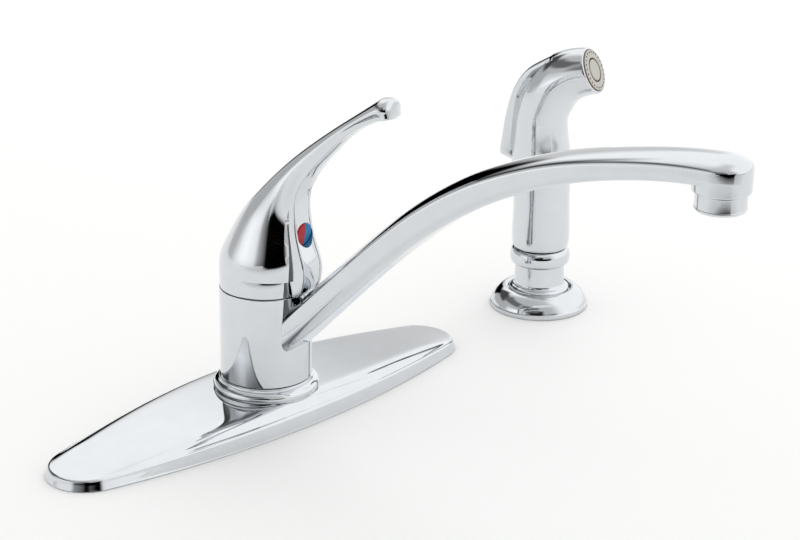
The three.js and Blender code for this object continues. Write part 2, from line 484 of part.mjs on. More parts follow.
// round bore across the body on the trigger's pivot
const acrossPin = (half, r, seg = 12) => rod([-half, -TRIGGER_PIN.s, TRIGGER_PIN.z],
  [half, -TRIGGER_PIN.s, TRIGGER_PIN.z], r, seg);
function sprayBody() {
  const bend = [0, -9.5, 119];
  const way = rod([0, -OUTLET_S, SPRAY_VALVE_Z + 3], [0, -OUTLET_S, 110], 1.7, 12)
    .add(rod([0, -OUTLET_S, 108.5], bend, 2.5, 14))
    .add(rod(bend, faceAxis(-5), 2.9, 14));
  return skin(SPRAY.map((row) => roundRing(row)))
    .subtract(box(-RECESS.half, RECESS.half, -RECESS.s, 40, RECESS.low, RECESS.high))
    .subtract(box(-RECESS.half, RECESS.half, -5.2, 40, 124.0, 160)
      .intersect(acrossPin(RECESS.half + 1, 11.5, 20)))
    .subtract(disc(SPRAY_BODY.bore, 30, WASHER_SEAT, 24))
    .subtract(disc(SPRAY_BODY.groove, CLIP_Z - CLEAR, CLIP_Z + 1.1 + CLEAR, 24))
    .subtract(disc(4.2, WASHER_SEAT - 1, 53, 14))
    .subtract(disc(12.2, 52, 74.5, 24))
    .subtract(moved(disc(2.6, 70, SPRAY_VALVE_Z), 0, -4.8, 0))
    .subtract(rod([0, -RECESS.s + 2, SPRAY_VALVE_Z], [0, -8, SPRAY_VALVE_Z], 5.2, 18))
    .subtract(way)
    .subtract(rod(faceAxis(-5.2), faceAxis(3), NOZZLE.r + 0.2, 28))
    .subtract(acrossPin(TRIGGER_PIN.length / 2 + CLEAR, TRIGGER_PIN.r + 0.25));
}

// side view of the trigger, outer line then inner line
const TRIGGER = [[-0.6, 139.4], [-4.6, 137.6], [-9.2, 133.4], [-13.8, 126.8], [-17.2, 119.2],
  [-19.4, 111], [-21.0, 102], [-22.2, 93], [-23.2, 86.4], [-22.2, 84.6], [-14.2, 82.0],
  [-12.8, 84], [-11.8, 90], [-11.2, 104], [-10.8, 114], [-9.6, 120.6], [-7.0, 124.9], [-1.6, 125.4],
  [2.4, 126.4], [4.2, 129.4], [4.0, 132.8], [2.2, 136.4]];
function extruded(outline, x0, x1) {
  const shape = new THREE.Shape(outline.map(([s, z]) => new THREE.Vector2(s, z)));
  const g = new THREE.ExtrudeGeometry(shape, { depth: x1 - x0, bevelEnabled: false });
  g.translate(0, 0, x0);
  // shape plane (s, z) and depth x become -Y, Z and X
  g.applyMatrix4(new THREE.Matrix4().set(0, 0, 1, 0, -1, 0, 0, 0, 0, 1, 0, 0, 0, 0, 0, 1));
  const out = solid(g);
  return out.volume() > 0 ? out : solid(g.scale(-1, 1, 1));
}
function sprayTrigger() {
  const hollow = [[-8.4, 119.6], [-13.0, 121.6], [-15.4, 118], [-17.6, 110.4], [-19.2, 101.6],
    [-20.4, 92.6], [-21.2, 86.6], [-20.4, 85.9], [-12, 83.6], [-9.5, 84], [-9.5, 104]];
  const w = TRIGGER_WIDTH / 2;
  return extruded(TRIGGER, -w, w)
    .subtract(extruded(hollow, -w + 2, w - 2))
    .subtract(acrossPin(w + 1, TRIGGER_PIN.r + 0.25));
}
const triggerPin = () => acrossPin(TRIGGER_PIN.length / 2, TRIGGER_PIN.r);

const along = (s0, s1, r, seg = 16) => rod([0, -s0, SPRAY_VALVE_Z], [0, -s1, SPRAY_VALVE_Z], r, seg);
// guide with the valve seat on its front end and a side port up to the head
const valveGuide = () => along(-6.4, 0, 4.9, 18).subtract(along(-8, 1, 1.85)).subtract(along(-4.2, 1, 2.9))
  .subtract(rod([0, -OUTLET_S, SPRAY_VALVE_Z], [0, -OUTLET_S, SPRAY_VALVE_Z + 6], 1.7, 12));
const valveSeal = () => along(0.2, 1.6, 4.4, 18).subtract(along(-1, 2, 1.85));
const valvePlunger = () => along(-18.4, 3.4, 1.55).add(along(1.8, 3.4, 4.0, 18));
// wire coil between the trigger and the guide
function springCoil(s0, s1, r, wire, turns) {
  class Coil extends THREE.Curve {
    getPoint(t, out = new THREE.Vector3()) {
      const a = 2 * Math.PI * turns * t;
      return out.set(r * Math.cos(a), -(s0 + (s1 - s0) * t), SPRAY_VALVE_Z + r * Math.sin(a));
    }
  }
  const section = new THREE.Shape(Array.from({ length: 5 }, (_, i) =>
    new THREE.Vector2(wire * Math.cos(rad(72 * i)), wire * Math.sin(rad(72 * i)))));
  const s = solid(new THREE.ExtrudeGeometry(section,
    { steps: turns * 10, extrudePath: new Coil(), bevelEnabled: false }));
  return s;
}
const plungerSpring = () => springCoil(-15.8, -7.0, 2.9, 0.32, 4);

const hoseCoupling = () => turned([[2.6, COUPLING.low], [COUPLING.neck, COUPLING.low],
  [COUPLING.neck, COUPLING.shoulder - 0.2], [COUPLING.r, COUPLING.shoulder], [COUPLING.r, COUPLING.top],
  [2.6, COUPLING.top]], 24);
const couplingWasher = () => ring(3.0, 6.6, COUPLING.top + CLEAR, WASHER_SEAT - CLEAR, 24);
// split ring in the groove of the body, under the coupling's shoulder
const couplingClip = () => ring(COUPLING.neck + CLEAR, SPRAY_BODY.groove - 0.2, CLIP_Z,
  CLIP_Z + 1.1, 24).subtract(box(-1.5, 1.5, 0, 12, 30, 42));

const nozzleRing = () => rod(faceAxis(-4.6), faceAxis(0.9), NOZZLE.r, 28)
  .subtract(rod(faceAxis(-6), faceAxis(2), NOZZLE.insert + 0.4, 20));
const nozzleInsert = () => rod(faceAxis(-4.4), faceAxis(0.5), NOZZLE.insert, 20)
  .subtract(rod(faceAxis(-6), faceAxis(-1), 3.6, 14));

// ---- assembly -----------------------------------------------------------------------------
const object = new THREE.Group();
object.name = 'side_spray_kitchen_faucet';

function add(name, s, material, turn = 0, shift = 0) {
  const placed = s.rotate([0, 0, turn]).translate([shift, 0, 0]);
  const m = placed.getMesh();
  const g = new THREE.BufferGeometry();
  g.setAttribute('position', new THREE.BufferAttribute(new Float32Array(m.vertProperties), 3));
  g.setIndex(new THREE.BufferAttribute(new Uint32Array(m.triVerts), 1));
  g.computeVertexNormals();
  const mesh = new THREE.Mesh(g, material);
  mesh.name = name;
  object.add(mesh);
}
const mixer = (name, s, material) => add(name, s, material, REST_TURN);
const spray = (name, s, material) => add(name, s, material, SPRAY_TURN, SPRAY_X);

add('deck_plate', deckPlate(), MAT.chrome);
add('deck_gasket', deckGasket(), MAT.rubber);
add('base_ring', baseRing(), MAT.chrome);
mixer('valve_body', valveBody(), MAT.brass);
add('body_oring_low', oRing(SEAL.r, SEAL.thick, SEAL.low), MAT.rubber);
add('body_oring_high', oRing(SEAL.r, SEAL.thick, SEAL.high), MAT.rubber);
add('swivel_washer', ring(SWIVEL.in, SWIVEL.out, HUB.bottom - CLEAR, HUB.bottom + SWIVEL.thick - CLEAR),
  MAT.acetal);
mixer('spout', spout(), MAT.chrome);
mixer('aerator_shell', aeratorShell(), MAT.chrome);
mixer('aerator_insert', aeratorInsert(), MAT.darkPlastic);
mixer('aerator_screen', aeratorScreen(), MAT.steel);
mixer('aerator_washer', aeratorWasher(), MAT.rubber);
mixer('inlet_seal_hot', portSeal(PORTS.hot), MAT.rubber);
mixer('inlet_seal_cold', portSeal(PORTS.cold), MAT.rubber);
mixer('outlet_seal', portSeal(PORTS.mixed), MAT.rubber);
mixer('cartridge_base', cartridgeBase(), MAT.acetal);
mixer('fixed_disc', fixedDisc(), MAT.ceramic);
mixer('moving_disc', movingDisc(), MAT.ceramic);
mixer('disc_carrier', discCarrier(), MAT.acetal);
mixer('cartridge_housing', cartridgeHousing(), MAT.acetal);
mixer('cartridge_rotor', rotor(), MAT.darkPlastic);
mixer('lever_pin', pivotPin(), MAT.steel);
mixer('lever_stem', leverStem(), MAT.steel);
mixer('bonnet_nut', bonnetNut(), MAT.brass);
mixer('trim_cap', trimCap(), MAT.chrome);
mixer('handle', handle(), MAT.chrome);
mixer('handle_screw', handleScrew(), MAT.steel);
mixer('index_button', indexButton(), MAT.button);
mixer('diverter_body', diverterBody(), MAT.acetal);
mixer('diverter_piston', diverterPiston(), MAT.darkPlastic);
mixer('diverter_seal', diverterSeal(), MAT.rubber);
spray('spray_flange', sprayFlange(), MAT.chrome);
spray('spray_gasket', sprayGasket(), MAT.rubber);
spray('spray_guide', sprayGuide(), MAT.chrome);
spray('spray_body', sprayBody(), MAT.chrome);
spray('spray_trigger', sprayTrigger(), MAT.chrome);
spray('trigger_pin', triggerPin(), MAT.steel);
spray('valve_guide', valveGuide(), MAT.brass);
spray('valve_plunger', valvePlunger(), MAT.steel);
spray('valve_seal', valveSeal(), MAT.rubber);
spray('plunger_spring', plungerSpring(), MAT.steel);
spray('hose_coupling', hoseCoupling(), MAT.brass);
spray('coupling_washer', couplingWasher(), MAT.rubber);
spray('coupling_clip', couplingClip(), MAT.acetal);
spray('nozzle_ring', nozzleRing(), MAT.face);
spray('nozzle_insert', nozzleInsert(), MAT.face);

export default object;
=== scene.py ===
"""Side spray kitchen faucet: its polished chrome, brass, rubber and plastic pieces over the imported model.

Outlines are written in millimetres on upright axes: s is the distance forward from a piece's own
axis, z the height over the deck and x the distance sideways.
"""
import json
import math

import bmesh
import bpy
from mathutils import Matrix, Vector


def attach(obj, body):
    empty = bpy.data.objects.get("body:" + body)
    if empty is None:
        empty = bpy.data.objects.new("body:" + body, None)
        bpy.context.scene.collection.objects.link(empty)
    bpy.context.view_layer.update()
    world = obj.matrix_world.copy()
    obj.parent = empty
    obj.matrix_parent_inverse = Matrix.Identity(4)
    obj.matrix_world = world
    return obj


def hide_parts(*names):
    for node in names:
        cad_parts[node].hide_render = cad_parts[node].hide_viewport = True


bl_info = {
    "name": "Side spray kitchen faucet",
    "version": (1, 0, 0),
    "blender": (4, 5, 0),
    "location": "View3D > Sidebar > Faucet",
    "description": "Builds the visible pieces of a kitchen faucet with a hand spray",
    "category": "Object",
}

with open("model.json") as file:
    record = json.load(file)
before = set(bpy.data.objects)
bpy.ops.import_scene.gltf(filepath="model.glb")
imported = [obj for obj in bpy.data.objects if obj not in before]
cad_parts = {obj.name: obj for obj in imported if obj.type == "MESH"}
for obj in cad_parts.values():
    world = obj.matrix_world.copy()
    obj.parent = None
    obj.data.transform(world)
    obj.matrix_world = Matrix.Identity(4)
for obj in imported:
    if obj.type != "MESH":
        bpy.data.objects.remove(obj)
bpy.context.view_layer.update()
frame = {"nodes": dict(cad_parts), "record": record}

MM = 0.001
CLEAR = 0.3                       # running gap between neighbouring pieces
FLOOR_Z = -0.0004
PHOTO_WIDTH = 800
SHARP, TURNED_SHARP = 32, 40      # edges over this many degrees stay crisp: castings, turned pieces


# ---- sizes and colours that a user would change -----------------------------------------------
def length(name, description, millimetres):
    return bpy.props.FloatProperty(name=name, description=description, default=millimetres * MM,
                                   unit="LENGTH", precision=5, min=0.0)


def angle(name, description, degrees):
    return bpy.props.FloatProperty(name=name, description=description,
                                   default=math.radians(degrees), subtype="ANGLE")


def colour(name, description, code):
    return bpy.props.StringProperty(name=name, description=description + ", as sRGB hex", default=code)


class FaucetSizes(bpy.types.PropertyGroup):
    """Driving sizes of the visible pieces."""
    rest_turn: angle("Mixer turn", "How far spout and lever are swung from straight ahead", 8.5)
    spray_turn: angle("Spray turn", "How far the spray head is turned from straight ahead", 19)
    spray_x: length("Spray place", "Distance of the hand spray from the mixer's axis", 203.2)
    plate_length: length("Plate half length", "Half the length of the deck plate", 129.5)
    plate_width: length("Plate half width", "Half the width of the deck plate", 33.22)
    plate_back: length("Plate offset", "How far the plate's middle lies behind the axis", 2.6)
    plate_end: length("Plate end radius", "Radius of the plate's round ends", 20)
    hub_radius: length("Hub radius", "Outer radius of the spout's hub", 22.4)
    hub_top: length("Hub top", "Height of the seam between hub and trim cap", 65.1)
    reach: length("Reach", "Distance from the hub's axis to the aerator's axis", 242.5)
    aerator_radius: length("Aerator radius", "Outer radius of the aerator's shell", 11.25)
    pivot: length("Pivot height", "Height of the lever's tilt axis", 67)
    cavity: length("Lever cavity", "Radius of the ball-shaped hollow under the lever", 23.6)
    button_radius: length("Button radius", "Radius of the hot and cold button", 5.35)
    flange_radius: length("Holder radius", "Outer radius of the spray holder's flange", 26.65)
    guide_radius: length("Guide radius", "Outer radius of the holder's neck", 13.5)
    face_radius: length("Spray face radius", "Radius of the spray's perforated face", 11.4)


class FaucetFinish(bpy.types.PropertyGroup):
    """Colours of the finishes."""
    chrome: colour("Chrome", "Tint of the polished chrome", "#D9DCDF")
    brass: colour("Brass", "Raw machined brass", "#C39A55")
    steel: colour("Steel", "Stainless steel", "#C3C5C7")
    rubber: colour("Rubber", "Black nitrile rubber", "#1B1C1D")
    acetal: colour("Acetal", "White acetal plastic", "#E8E6DE")
    grey_plastic: colour("Grey plastic", "Grey moulded plastic", "#5A5D60")
    ceramic: colour("Ceramic", "Ground alumina", "#F1EFE8")
    hot: colour("Hot", "Red half of the button", "#B5242B")
    cold: colour("Cold", "Blue half of the button", "#0078B2")
    face: colour("Spray face", "Warm grey plastic of the spray face", "#C4C1BA")
    floor: colour("Floor", "Pale studio floor", "#F6F6F5")


# ---- shapes -----------------------------------------------------------------------------------
def fillet(before, corner, after, radius, steps):
    """Points that round one corner of an outline, by a curve that leaves both sides smoothly."""
    back, ahead = before - corner, after - corner
    if radius <= 0:
        return [corner]
    half = back.angle(ahead) / 2
    reach = min(radius / max(math.tan(half), 1e-4), 0.48 * back.length, 0.48 * ahead.length)
    start, end = corner + back.normalized() * reach, corner + ahead.normalized() * reach
    steps_at = [k / steps for k in range(steps + 1)]
    return [start * (1 - t) ** 2 + corner * 2 * t * (1 - t) + end * t ** 2 for t in steps_at]


def rounded(corners, closed, steps=6):
    """Outline through (r, z) or (r, z, fillet) corners."""
    points = [Vector(c[:2]) for c in corners]
    out = []
    for i, corner in enumerate(corners):
        radius = corner[2] if len(corner) > 2 else 0
        if not closed and i in (0, len(corners) - 1):
            out.append(points[i])
            continue
        out += fillet(points[i - 1], points[i], points[(i + 1) % len(points)], radius, steps)
    return out


def moulded(corners):
    """Outline whose stretches between None marks are smooth curves through their points."""
    out, run = [], []
    for corner in list(corners) + [None]:
        if corner is not None:
            run.append(list(corner))
            continue
        out += [tuple(p) for p in (through(run, 7, 0) if len(run) > 2 else run)]
        run = []
    return out


def arc(cx, cy, radius, start, end, steps):
    """Points on an arc, from one angle to another in degrees."""
    turns = [math.radians(start + (end - start) * k / steps) for k in range(steps + 1)]
    return [(cx + radius * math.cos(t), cy + radius * math.sin(t)) for t in turns]


def lathe(outline, segments):
    """Turned solid: an outline that closes on itself, or starts and ends on the axis."""
    verts, rows = [], []
    for r, z in outline:
        if abs(r) < 1e-6:
            rows.append([len(verts)] * segments)
            verts.append((0, 0, z))
            continue
        rows.append(list(range(len(verts), len(verts) + segments)))
        for k in range(segments):
            t = 2 * math.pi * k / segments
            verts.append((r * math.cos(t), r * math.sin(t), z))
    on_axis = abs(outline[0][0]) < 1e-6
    pairs = list(zip(rows, rows[1:] + ([] if on_axis else rows[:1])))
    return verts, bands(pairs, segments)


def bands(pairs, count):
    """Faces between neighbouring rings of equal count, without the doubled corners at a pole."""
    faces = []
    for low, high in pairs:
        for i in range(count):
            j = (i + 1) % count
            quad = [low[i], low[j], high[j], high[i]]
            corners = [v for k, v in enumerate(quad) if v != quad[k - 1]]
            if len(corners) > 2:
                faces.append(corners)
    return faces


def loft(rings):
    """Solid through closed rings of equal count, with flat ends."""
    count = len(rings[0])
    verts = [p for ring in rings for p in ring]
    rows = [list(range(k * count, (k + 1) * count)) for k in range(len(rings))]
    return verts, bands(list(zip(rows, rows[1:])), count) + [rows[0][::-1], rows[-1]]


def through(rows, per, passes):
    """Rows of numbers joined by a curve with per steps between two rows, then evened out."""
    fine = []
    for i in range(len(rows) - 1):
        a, b, c, d = rows[max(i - 1, 0)], rows[i], rows[i + 1], rows[min(i + 2, len(rows) - 1)]
        for k in range(per):
            t = k / per
            fine.append([bend(*values, t) for values in zip(a, b, c, d)])
    fine.append(list(rows[-1]))
    for _ in range(passes):
        middle = [[(p + 2 * q + r) / 4 for p, q, r in zip(*fine[i - 1:i + 2])]
                  for i in range(1, len(fine) - 1)]
        fine = [fine[0]] + middle + [fine[-1]]
    return fine


def bend(a, b, c, d, t):
    """Value between b and c on a curve that also heeds a and d."""
    slope_b, slope_c = (c - a) / 2, (d - b) / 2
    return ((2 * t ** 3 - 3 * t ** 2 + 1) * b + (t ** 3 - 2 * t ** 2 + t) * slope_b
            + (3 * t ** 2 - 2 * t ** 3) * c + (t ** 3 - t ** 2) * slope_c)


def at(s, z, x=0.0):
    return Vector((x, -s, z))


def mixer_place():
    """Turns a piece of the mixer as spout and lever stand at rest."""
    return Matrix.Rotation(bpy.context.scene.faucet_sizes.rest_turn, 4, "Z")


def spray_place():
    """Turns a piece of the hand spray and stands it in its hole of the deck."""
    sizes = bpy.context.scene.faucet_sizes
    return Matrix.Translation((sizes.spray_x, 0, 0)) @ Matrix.Rotation(sizes.spray_turn, 4, "Z")


def placed(name, data):
    """New object in the scene."""
    obj = bpy.data.objects.new(name, data)
    bpy.context.scene.collection.objects.link(obj)
    return obj


def make(name, shape, place=None, sharp=SHARP):
    """Mesh object from an outline's points in millimetres, smooth but for edges over the sharp angle."""
    verts, faces = shape
    matrix = (place or Matrix.Identity(4)) @ Matrix.Scale(MM, 4)
    mesh = bpy.data.meshes.new(name)
    mesh.from_pydata([matrix @ Vector(v) for v in verts], [], faces)
    body = bmesh.new()
    body.from_mesh(mesh)
    bmesh.ops.remove_doubles(body, verts=body.verts, dist=1e-7)
    bmesh.ops.recalc_face_normals(body, faces=body.faces)
    body.to_mesh(mesh)
    body.free()
    shade(mesh, sharp)
    return placed(name, mesh)


def shade(mesh, sharp):
    mesh.shade_smooth()
    mesh.set_sharp_from_angle(angle=math.radians(sharp))


def join(base, tool, operation, sharp=SHARP):
    """Unites base with tool, or cuts tool out of it, and drops the tool."""
    change = base.modifiers.new(operation, "BOOLEAN")
    change.object = tool
    change.operation = operation
    change.solver = "EXACT"
    apply_modifiers(base, sharp)
    bpy.data.objects.remove(tool)
    return base


def cut(base, shape, place, sharp=SHARP):
    """Cuts a shape out of base."""
    return join(base, make("tool", shape, place), "DIFFERENCE", sharp)


def apply_modifiers(obj, sharp=SHARP):
    view = bpy.context.evaluated_depsgraph_get()
    mesh = bpy.data.meshes.new_from_object(obj.evaluated_get(view))
    obj.modifiers.clear()
    obj.data = mesh
    shade(mesh, sharp)


def rod(start, end, radius, segments):
    """Round bar between two points, used to bore a hole."""
    span = Vector(end) - Vector(start)
    verts, faces = lathe([(0, 0), (radius, 0), (radius, span.length), (0, span.length)], segments)
    turn = Matrix.Translation(start) @ span.to_track_quat("Z", "Y").to_matrix().to_4x4()
    return [turn @ Vector(v) for v in verts], faces


def finish(obj, body, slot, *nodes):
    """Gives a piece its material and the body that it rides on, and hides the imported nodes that it stands
    for.
    """
    obj.data.materials.clear()
    obj.data.materials.append(finishes()[slot])
    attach(obj, body)
    if nodes:
        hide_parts(*nodes)


# ---- materials --------------------------------------------------------------------------------
def linear(code):
    """sRGB hex colour as linear red, green, blue and alpha."""
    parts = [int(code[i:i + 2], 16) / 255 for i in (1, 3, 5)]
    return [c / 12.92 if c <= 0.04045 else ((c + 0.055) / 1.055) ** 2.4 for c in parts] + [1.0]


def add_node(tree, kind, inputs=None, **settings):
    """Adds a node; an input is a value or another node's output socket, by name or number."""
    node = tree.nodes.new(kind)
    for name, value in settings.items():
        setattr(node, name, value)
    for key, value in (inputs or {}).items():
        if isinstance(value, bpy.types.NodeSocket):
            tree.links.new(value, node.inputs[key])
        else:
            node.inputs[key].default_value = value
    return node


def shader(name):
    """New material with an empty node tree."""
    material = bpy.data.materials.new(name)
    material.use_nodes = True
    tree = material.node_tree
    tree.nodes.clear()
    return material, tree


def surface(tree, **inputs):
    sockets = {key.replace("_", " "): value for key, value in inputs.items()}
    body = add_node(tree, "ShaderNodeBsdfPrincipled", sockets)
    add_node(tree, "ShaderNodeOutputMaterial", {"Surface": body.outputs["BSDF"]})


def grain(tree, size, detail, stretch=(1, 1, 1)):
    """Noise on object coordinates whose features are about size millimetres wide."""
    where = add_node(tree, "ShaderNodeTexCoord").outputs["Object"]
    place = add_node(tree, "ShaderNodeMapping", {"Vector": where, "Scale": stretch})
    return add_node(tree, "ShaderNodeTexNoise", {"Vector": place.outputs["Vector"],
                    "Scale": 1 / (size * MM), "Detail": detail}).outputs["Fac"]


NOISE_LOW, NOISE_HIGH = 0.35, 0.65    # between these lies nearly all that a noise gives


def worn_surface(tree, tones, gloss, relief, **inputs):
    """Surface whose tint, gloss and relief wander, as on a real piece.

    tones are a factor, the tone at 0 and the tone at 1; gloss is a noise, the lowest and the highest
    roughness; relief is a noise, its strength and its depth in millimetres.
    """
    factor, first, second = tones
    noise, smooth, rough = gloss
    height, strength, depth = relief
    tint = add_node(tree, "ShaderNodeMix", {0: factor, 6: first, 7: second}, data_type="RGBA")
    blur = add_node(tree, "ShaderNodeMapRange", {"Value": noise, "From Min": NOISE_LOW,
                    "From Max": NOISE_HIGH, "To Min": smooth, "To Max": rough})
    bump = add_node(tree, "ShaderNodeBump", {"Height": height, "Strength": strength,
                    "Distance": depth * MM})
    surface(tree, Base_Color=tint.outputs[2], Roughness=blur.outputs["Result"],
            Normal=bump.outputs["Normal"], **inputs)


def shaded(code, factor):
    """Linear colour scaled by a factor."""
    return [c * factor for c in linear(code)[:3]] + [1.0]


def polished_chrome(code):
    # chrome plate over buffed nickel on cast metal: a mirror, cool grey, with a faint haze where
    # fingers and water have dried, and buffing waves of a few millimetres too shallow to see as relief
    material, tree = shader("polished_chrome")
    haze = grain(tree, 9, 4)
    film = add_node(tree, "ShaderNodeMapRange", {"Value": haze, "From Min": NOISE_LOW,
                    "From Max": NOISE_HIGH}).outputs["Result"]
    worn_surface(tree, (film, shaded(code, 0.975), linear(code)), (haze, 0.022, 0.05),
                 (grain(tree, 14, 1), 0.05, 0.05), Metallic=1.0)
    return material


def raw_brass(code):
    # free-cutting brass off the lathe: yellow, with fine turning marks round it and dull cast skin
    material, tree = shader("raw_brass")
    marks = grain(tree, 0.8, 3, (1, 1, 6))
    worn_surface(tree, (grain(tree, 5, 3), shaded(code, 0.72), linear(code)), (marks, 0.26, 0.42),
                 (marks, 0.3, 0.05), Metallic=1.0)
    return material


def stainless_steel(code):
    # drawn stainless wire and bar: neutral grey with fine lengthwise scratches
    material, tree = shader("stainless_steel")
    marks = grain(tree, 0.5, 3, (5, 1, 1))
    worn_surface(tree, (marks, shaded(code, 0.85), linear(code)), (marks, 0.2, 0.34),
                 (marks, 0.2, 0.03), Metallic=1.0)
    return material


def black_rubber(code):
    # moulded nitrile rubber: matt black, with a grey bloom and a fine pitted skin
    material, tree = shader("black_rubber")
    worn_surface(tree, (grain(tree, 6, 4), linear(code), shaded(code, 1.9)),
                 (grain(tree, 2, 3), 0.62, 0.82), (grain(tree, 0.5, 3), 0.4, 0.06),
                 Specular_IOR_Level=0.4)
    return material


def moulded_plastic(name, code, gloss):
    # injection-moulded thermoplastic: even colour with slight flow marks, satin skin off the mould
    material, tree = shader(name)
    worn_surface(tree, (grain(tree, 8, 3), shaded(code, 0.93), linear(code)),
                 (grain(tree, 3, 3), gloss, gloss + 0.1), (grain(tree, 0.7, 2), 0.25, 0.03))
    return material


def ground_ceramic(code):
    # lapped alumina: near-white, even, with a glassy polish and the faintest mottle
    material, tree = shader("white_ceramic")
    worn_surface(tree, (grain(tree, 2, 4), shaded(code, 0.95), linear(code)),
                 (grain(tree, 1.2, 3), 0.14, 0.22), (grain(tree, 0.4, 2), 0.1, 0.01))
    return material


SCALE_AND_SHADE_BROWN = "#64543F"               # lime and dirt down in the holes of the spray face, darkened further as painted shade
SCALE_AND_SHADE_FROM, SCALE_AND_SHADE_TO = 0.05, 0.35     # how deep the brown begins, and where it covers all


def face_plastic(code, plane):
    # moulded acetal of the spray face: warm grey and satin, brown with scale and with painted shade down in
    # its holes and in the gap round the middle disc, below the plane (its axis and how far along that it
    # lies)
    material, tree = shader("spray_face_plastic")
    axis, depth = plane
    where = add_node(tree, "ShaderNodeTexCoord").outputs["Object"]
    along = add_node(tree, "ShaderNodeVectorMath", {0: where, 1: axis}, operation="DOT_PRODUCT")
    # painted shade together with the scale: the further below the face's plane, the browner the colour
    scale_and_shade_mask = add_node(tree, "ShaderNodeMapRange", {"Value": along.outputs["Value"],
                    "From Min": depth - SCALE_AND_SHADE_TO * MM, "From Max": depth - SCALE_AND_SHADE_FROM * MM,
                    "To Min": 1.0, "To Max": 0.0}).outputs["Result"]
    skin = add_node(tree, "ShaderNodeMix", {0: grain(tree, 1.4, 3), 6: shaded(code, 0.86),
                    7: linear(code)}, data_type="RGBA").outputs[2]
    worn_surface(tree, (scale_and_shade_mask, skin, linear(SCALE_AND_SHADE_BROWN)), (grain(tree, 2, 3), 0.38, 0.5),
                 (grain(tree, 0.7, 2), 0.3, 0.03))
    return material


PRINT_BLUR = 0.1                      # half the width over which red and blue meet
PRINT_WEAR = "#3A3A44"                # dull grey that both wear towards


def index_enamel(hot, cold, turn):
    # printed plastic button: one half red, one half blue, satin, with the edge between them
    # blurred by a tenth of a millimetre as print is
    material, tree = shader("index_button")
    where = add_node(tree, "ShaderNodeTexCoord").outputs["Object"]
    square = add_node(tree, "ShaderNodeMapping", {"Vector": where, "Rotation": (0, 0, -turn)})
    sideways = add_node(tree, "ShaderNodeSeparateXYZ", {"Vector": square.outputs["Vector"]}).outputs["X"]
    half = add_node(tree, "ShaderNodeMapRange", {"Value": sideways, "From Min": -PRINT_BLUR * MM,
                    "From Max": PRINT_BLUR * MM}).outputs["Result"]
    ink = add_node(tree, "ShaderNodeMix", {0: half, 6: linear(hot), 7: linear(cold)},
                   data_type="RGBA").outputs[2]
    worn = add_node(tree, "ShaderNodeMapRange", {"Value": grain(tree, 1.5, 3), "From Min": NOISE_LOW,
                    "From Max": NOISE_HIGH, "To Max": 0.1}).outputs["Result"]
    worn_surface(tree, (worn, ink, linear(PRINT_WEAR)), (grain(tree, 2, 2), 0.36, 0.46),
                 (grain(tree, 0.8, 2), 0.15, 0.02), Specular_IOR_Level=0.3)
    return material


def face_plane():
    """Direction in which the spray face looks, and how far along it the face's surface lies."""
    place = spray_place()
    axis = place.to_3x3() @ (face_point(1) - face_point(0))
    surface_point = place @ (face_point(0.75) * MM)
    return tuple(axis), surface_point.dot(axis)


FINISH = {}                           # every material by its slot


def finishes():
    """Fills FINISH at the first call, and returns it."""
    if not FINISH:
        look = bpy.context.scene.faucet_finish
        FINISH.update({
            "polished_chrome": polished_chrome(look.chrome),
            "raw_brass": raw_brass(look.brass),
            "stainless_steel": stainless_steel(look.steel),
            "black_rubber": black_rubber(look.rubber),
            "white_acetal": moulded_plastic("white_acetal", look.acetal, 0.36),
            "grey_plastic": moulded_plastic("grey_plastic", look.grey_plastic, 0.42),
            "white_ceramic": ground_ceramic(look.ceramic),
            "index_button": index_enamel(look.hot, look.cold, bpy.context.scene.faucet_sizes.rest_turn),
            "spray_face_plastic": face_plastic(look.face, face_plane()),
        })
    return FINISH


# ---- deck plate and base ring -------------------------------------------------------------------
RIM = 3.2                         # height of the plate's leaning side at its ends
RIM_RISE = 3.1                    # and how much more it is at mid-length
SIDE_LEAN = 1.2
SHOULDER = 1.5                    # width and height of the rounded shoulder
CROWN = 5.3                       # rise of the top inside the shoulder
CROWN_POWER = 18                  # how late towards the edge the nearly flat top falls away
CREST = RIM + RIM_RISE + SHOULDER + CROWN
PLATE_WALL = 1.8
PLATE_BORE = 17.1
BASE_BORE = 20.9


PER_SIDE, PER_END = 44, 40        # steps of the outline along each side and round each end


def plate_outline(inset):
    """Outline of two long side arcs that meet round ends, shrunk by an inset."""
    sizes = bpy.context.scene.faucet_sizes
    a, b, r = (v / MM for v in (sizes.plate_length, sizes.plate_width, sizes.plate_end))
    big = ((a - r) ** 2 + b ** 2 - r ** 2) / (2 * (b - r))
    turn = math.degrees(math.asin((a - r) / (big - r)))
    points = arc(a - r, 0, r - inset, turn - 90, 90 - turn, PER_END)[:-1]
    points += arc(0, b - big, big - inset, 90 - turn, 90 + turn, PER_SIDE)[:-1]
    points += arc(r - a, 0, r - inset, 90 + turn, 270 - turn, PER_END)[:-1]
    return points + arc(0, big - b, big - inset, 270 - turn, 270 + turn, PER_SIDE)[:-1]


def plate_half_length():
    return bpy.context.scene.faucet_sizes.plate_length / MM


def rim_at(x):
    return RIM + RIM_RISE * (1 - (x / plate_half_length()) ** 2)


def share_out(x, y, edge):
    """How far a point lies from the plate's middle towards its shoulder, from 0 to 1."""
    if x == 0 and y == 0:
        return 0
    best = 0
    for (ax, ay), (bx, by) in zip(edge, edge[1:] + edge[:1]):
        across = ax * by - ay * bx
        u, v = (x * by - y * bx) / across, (ax * y - ay * x) / across
        if u >= -1e-9 and v >= -1e-9:
            best = u + v
    return best


def plate_top(x, y, edge):
    """Height of the plate's domed top at a point measured from the plate's middle."""
    k = min(share_out(x, y, edge), 1)
    return rim_at(x) + SHOULDER + CROWN * (1 - k ** CROWN_POWER) * (1 - (x / plate_half_length()) ** 2)


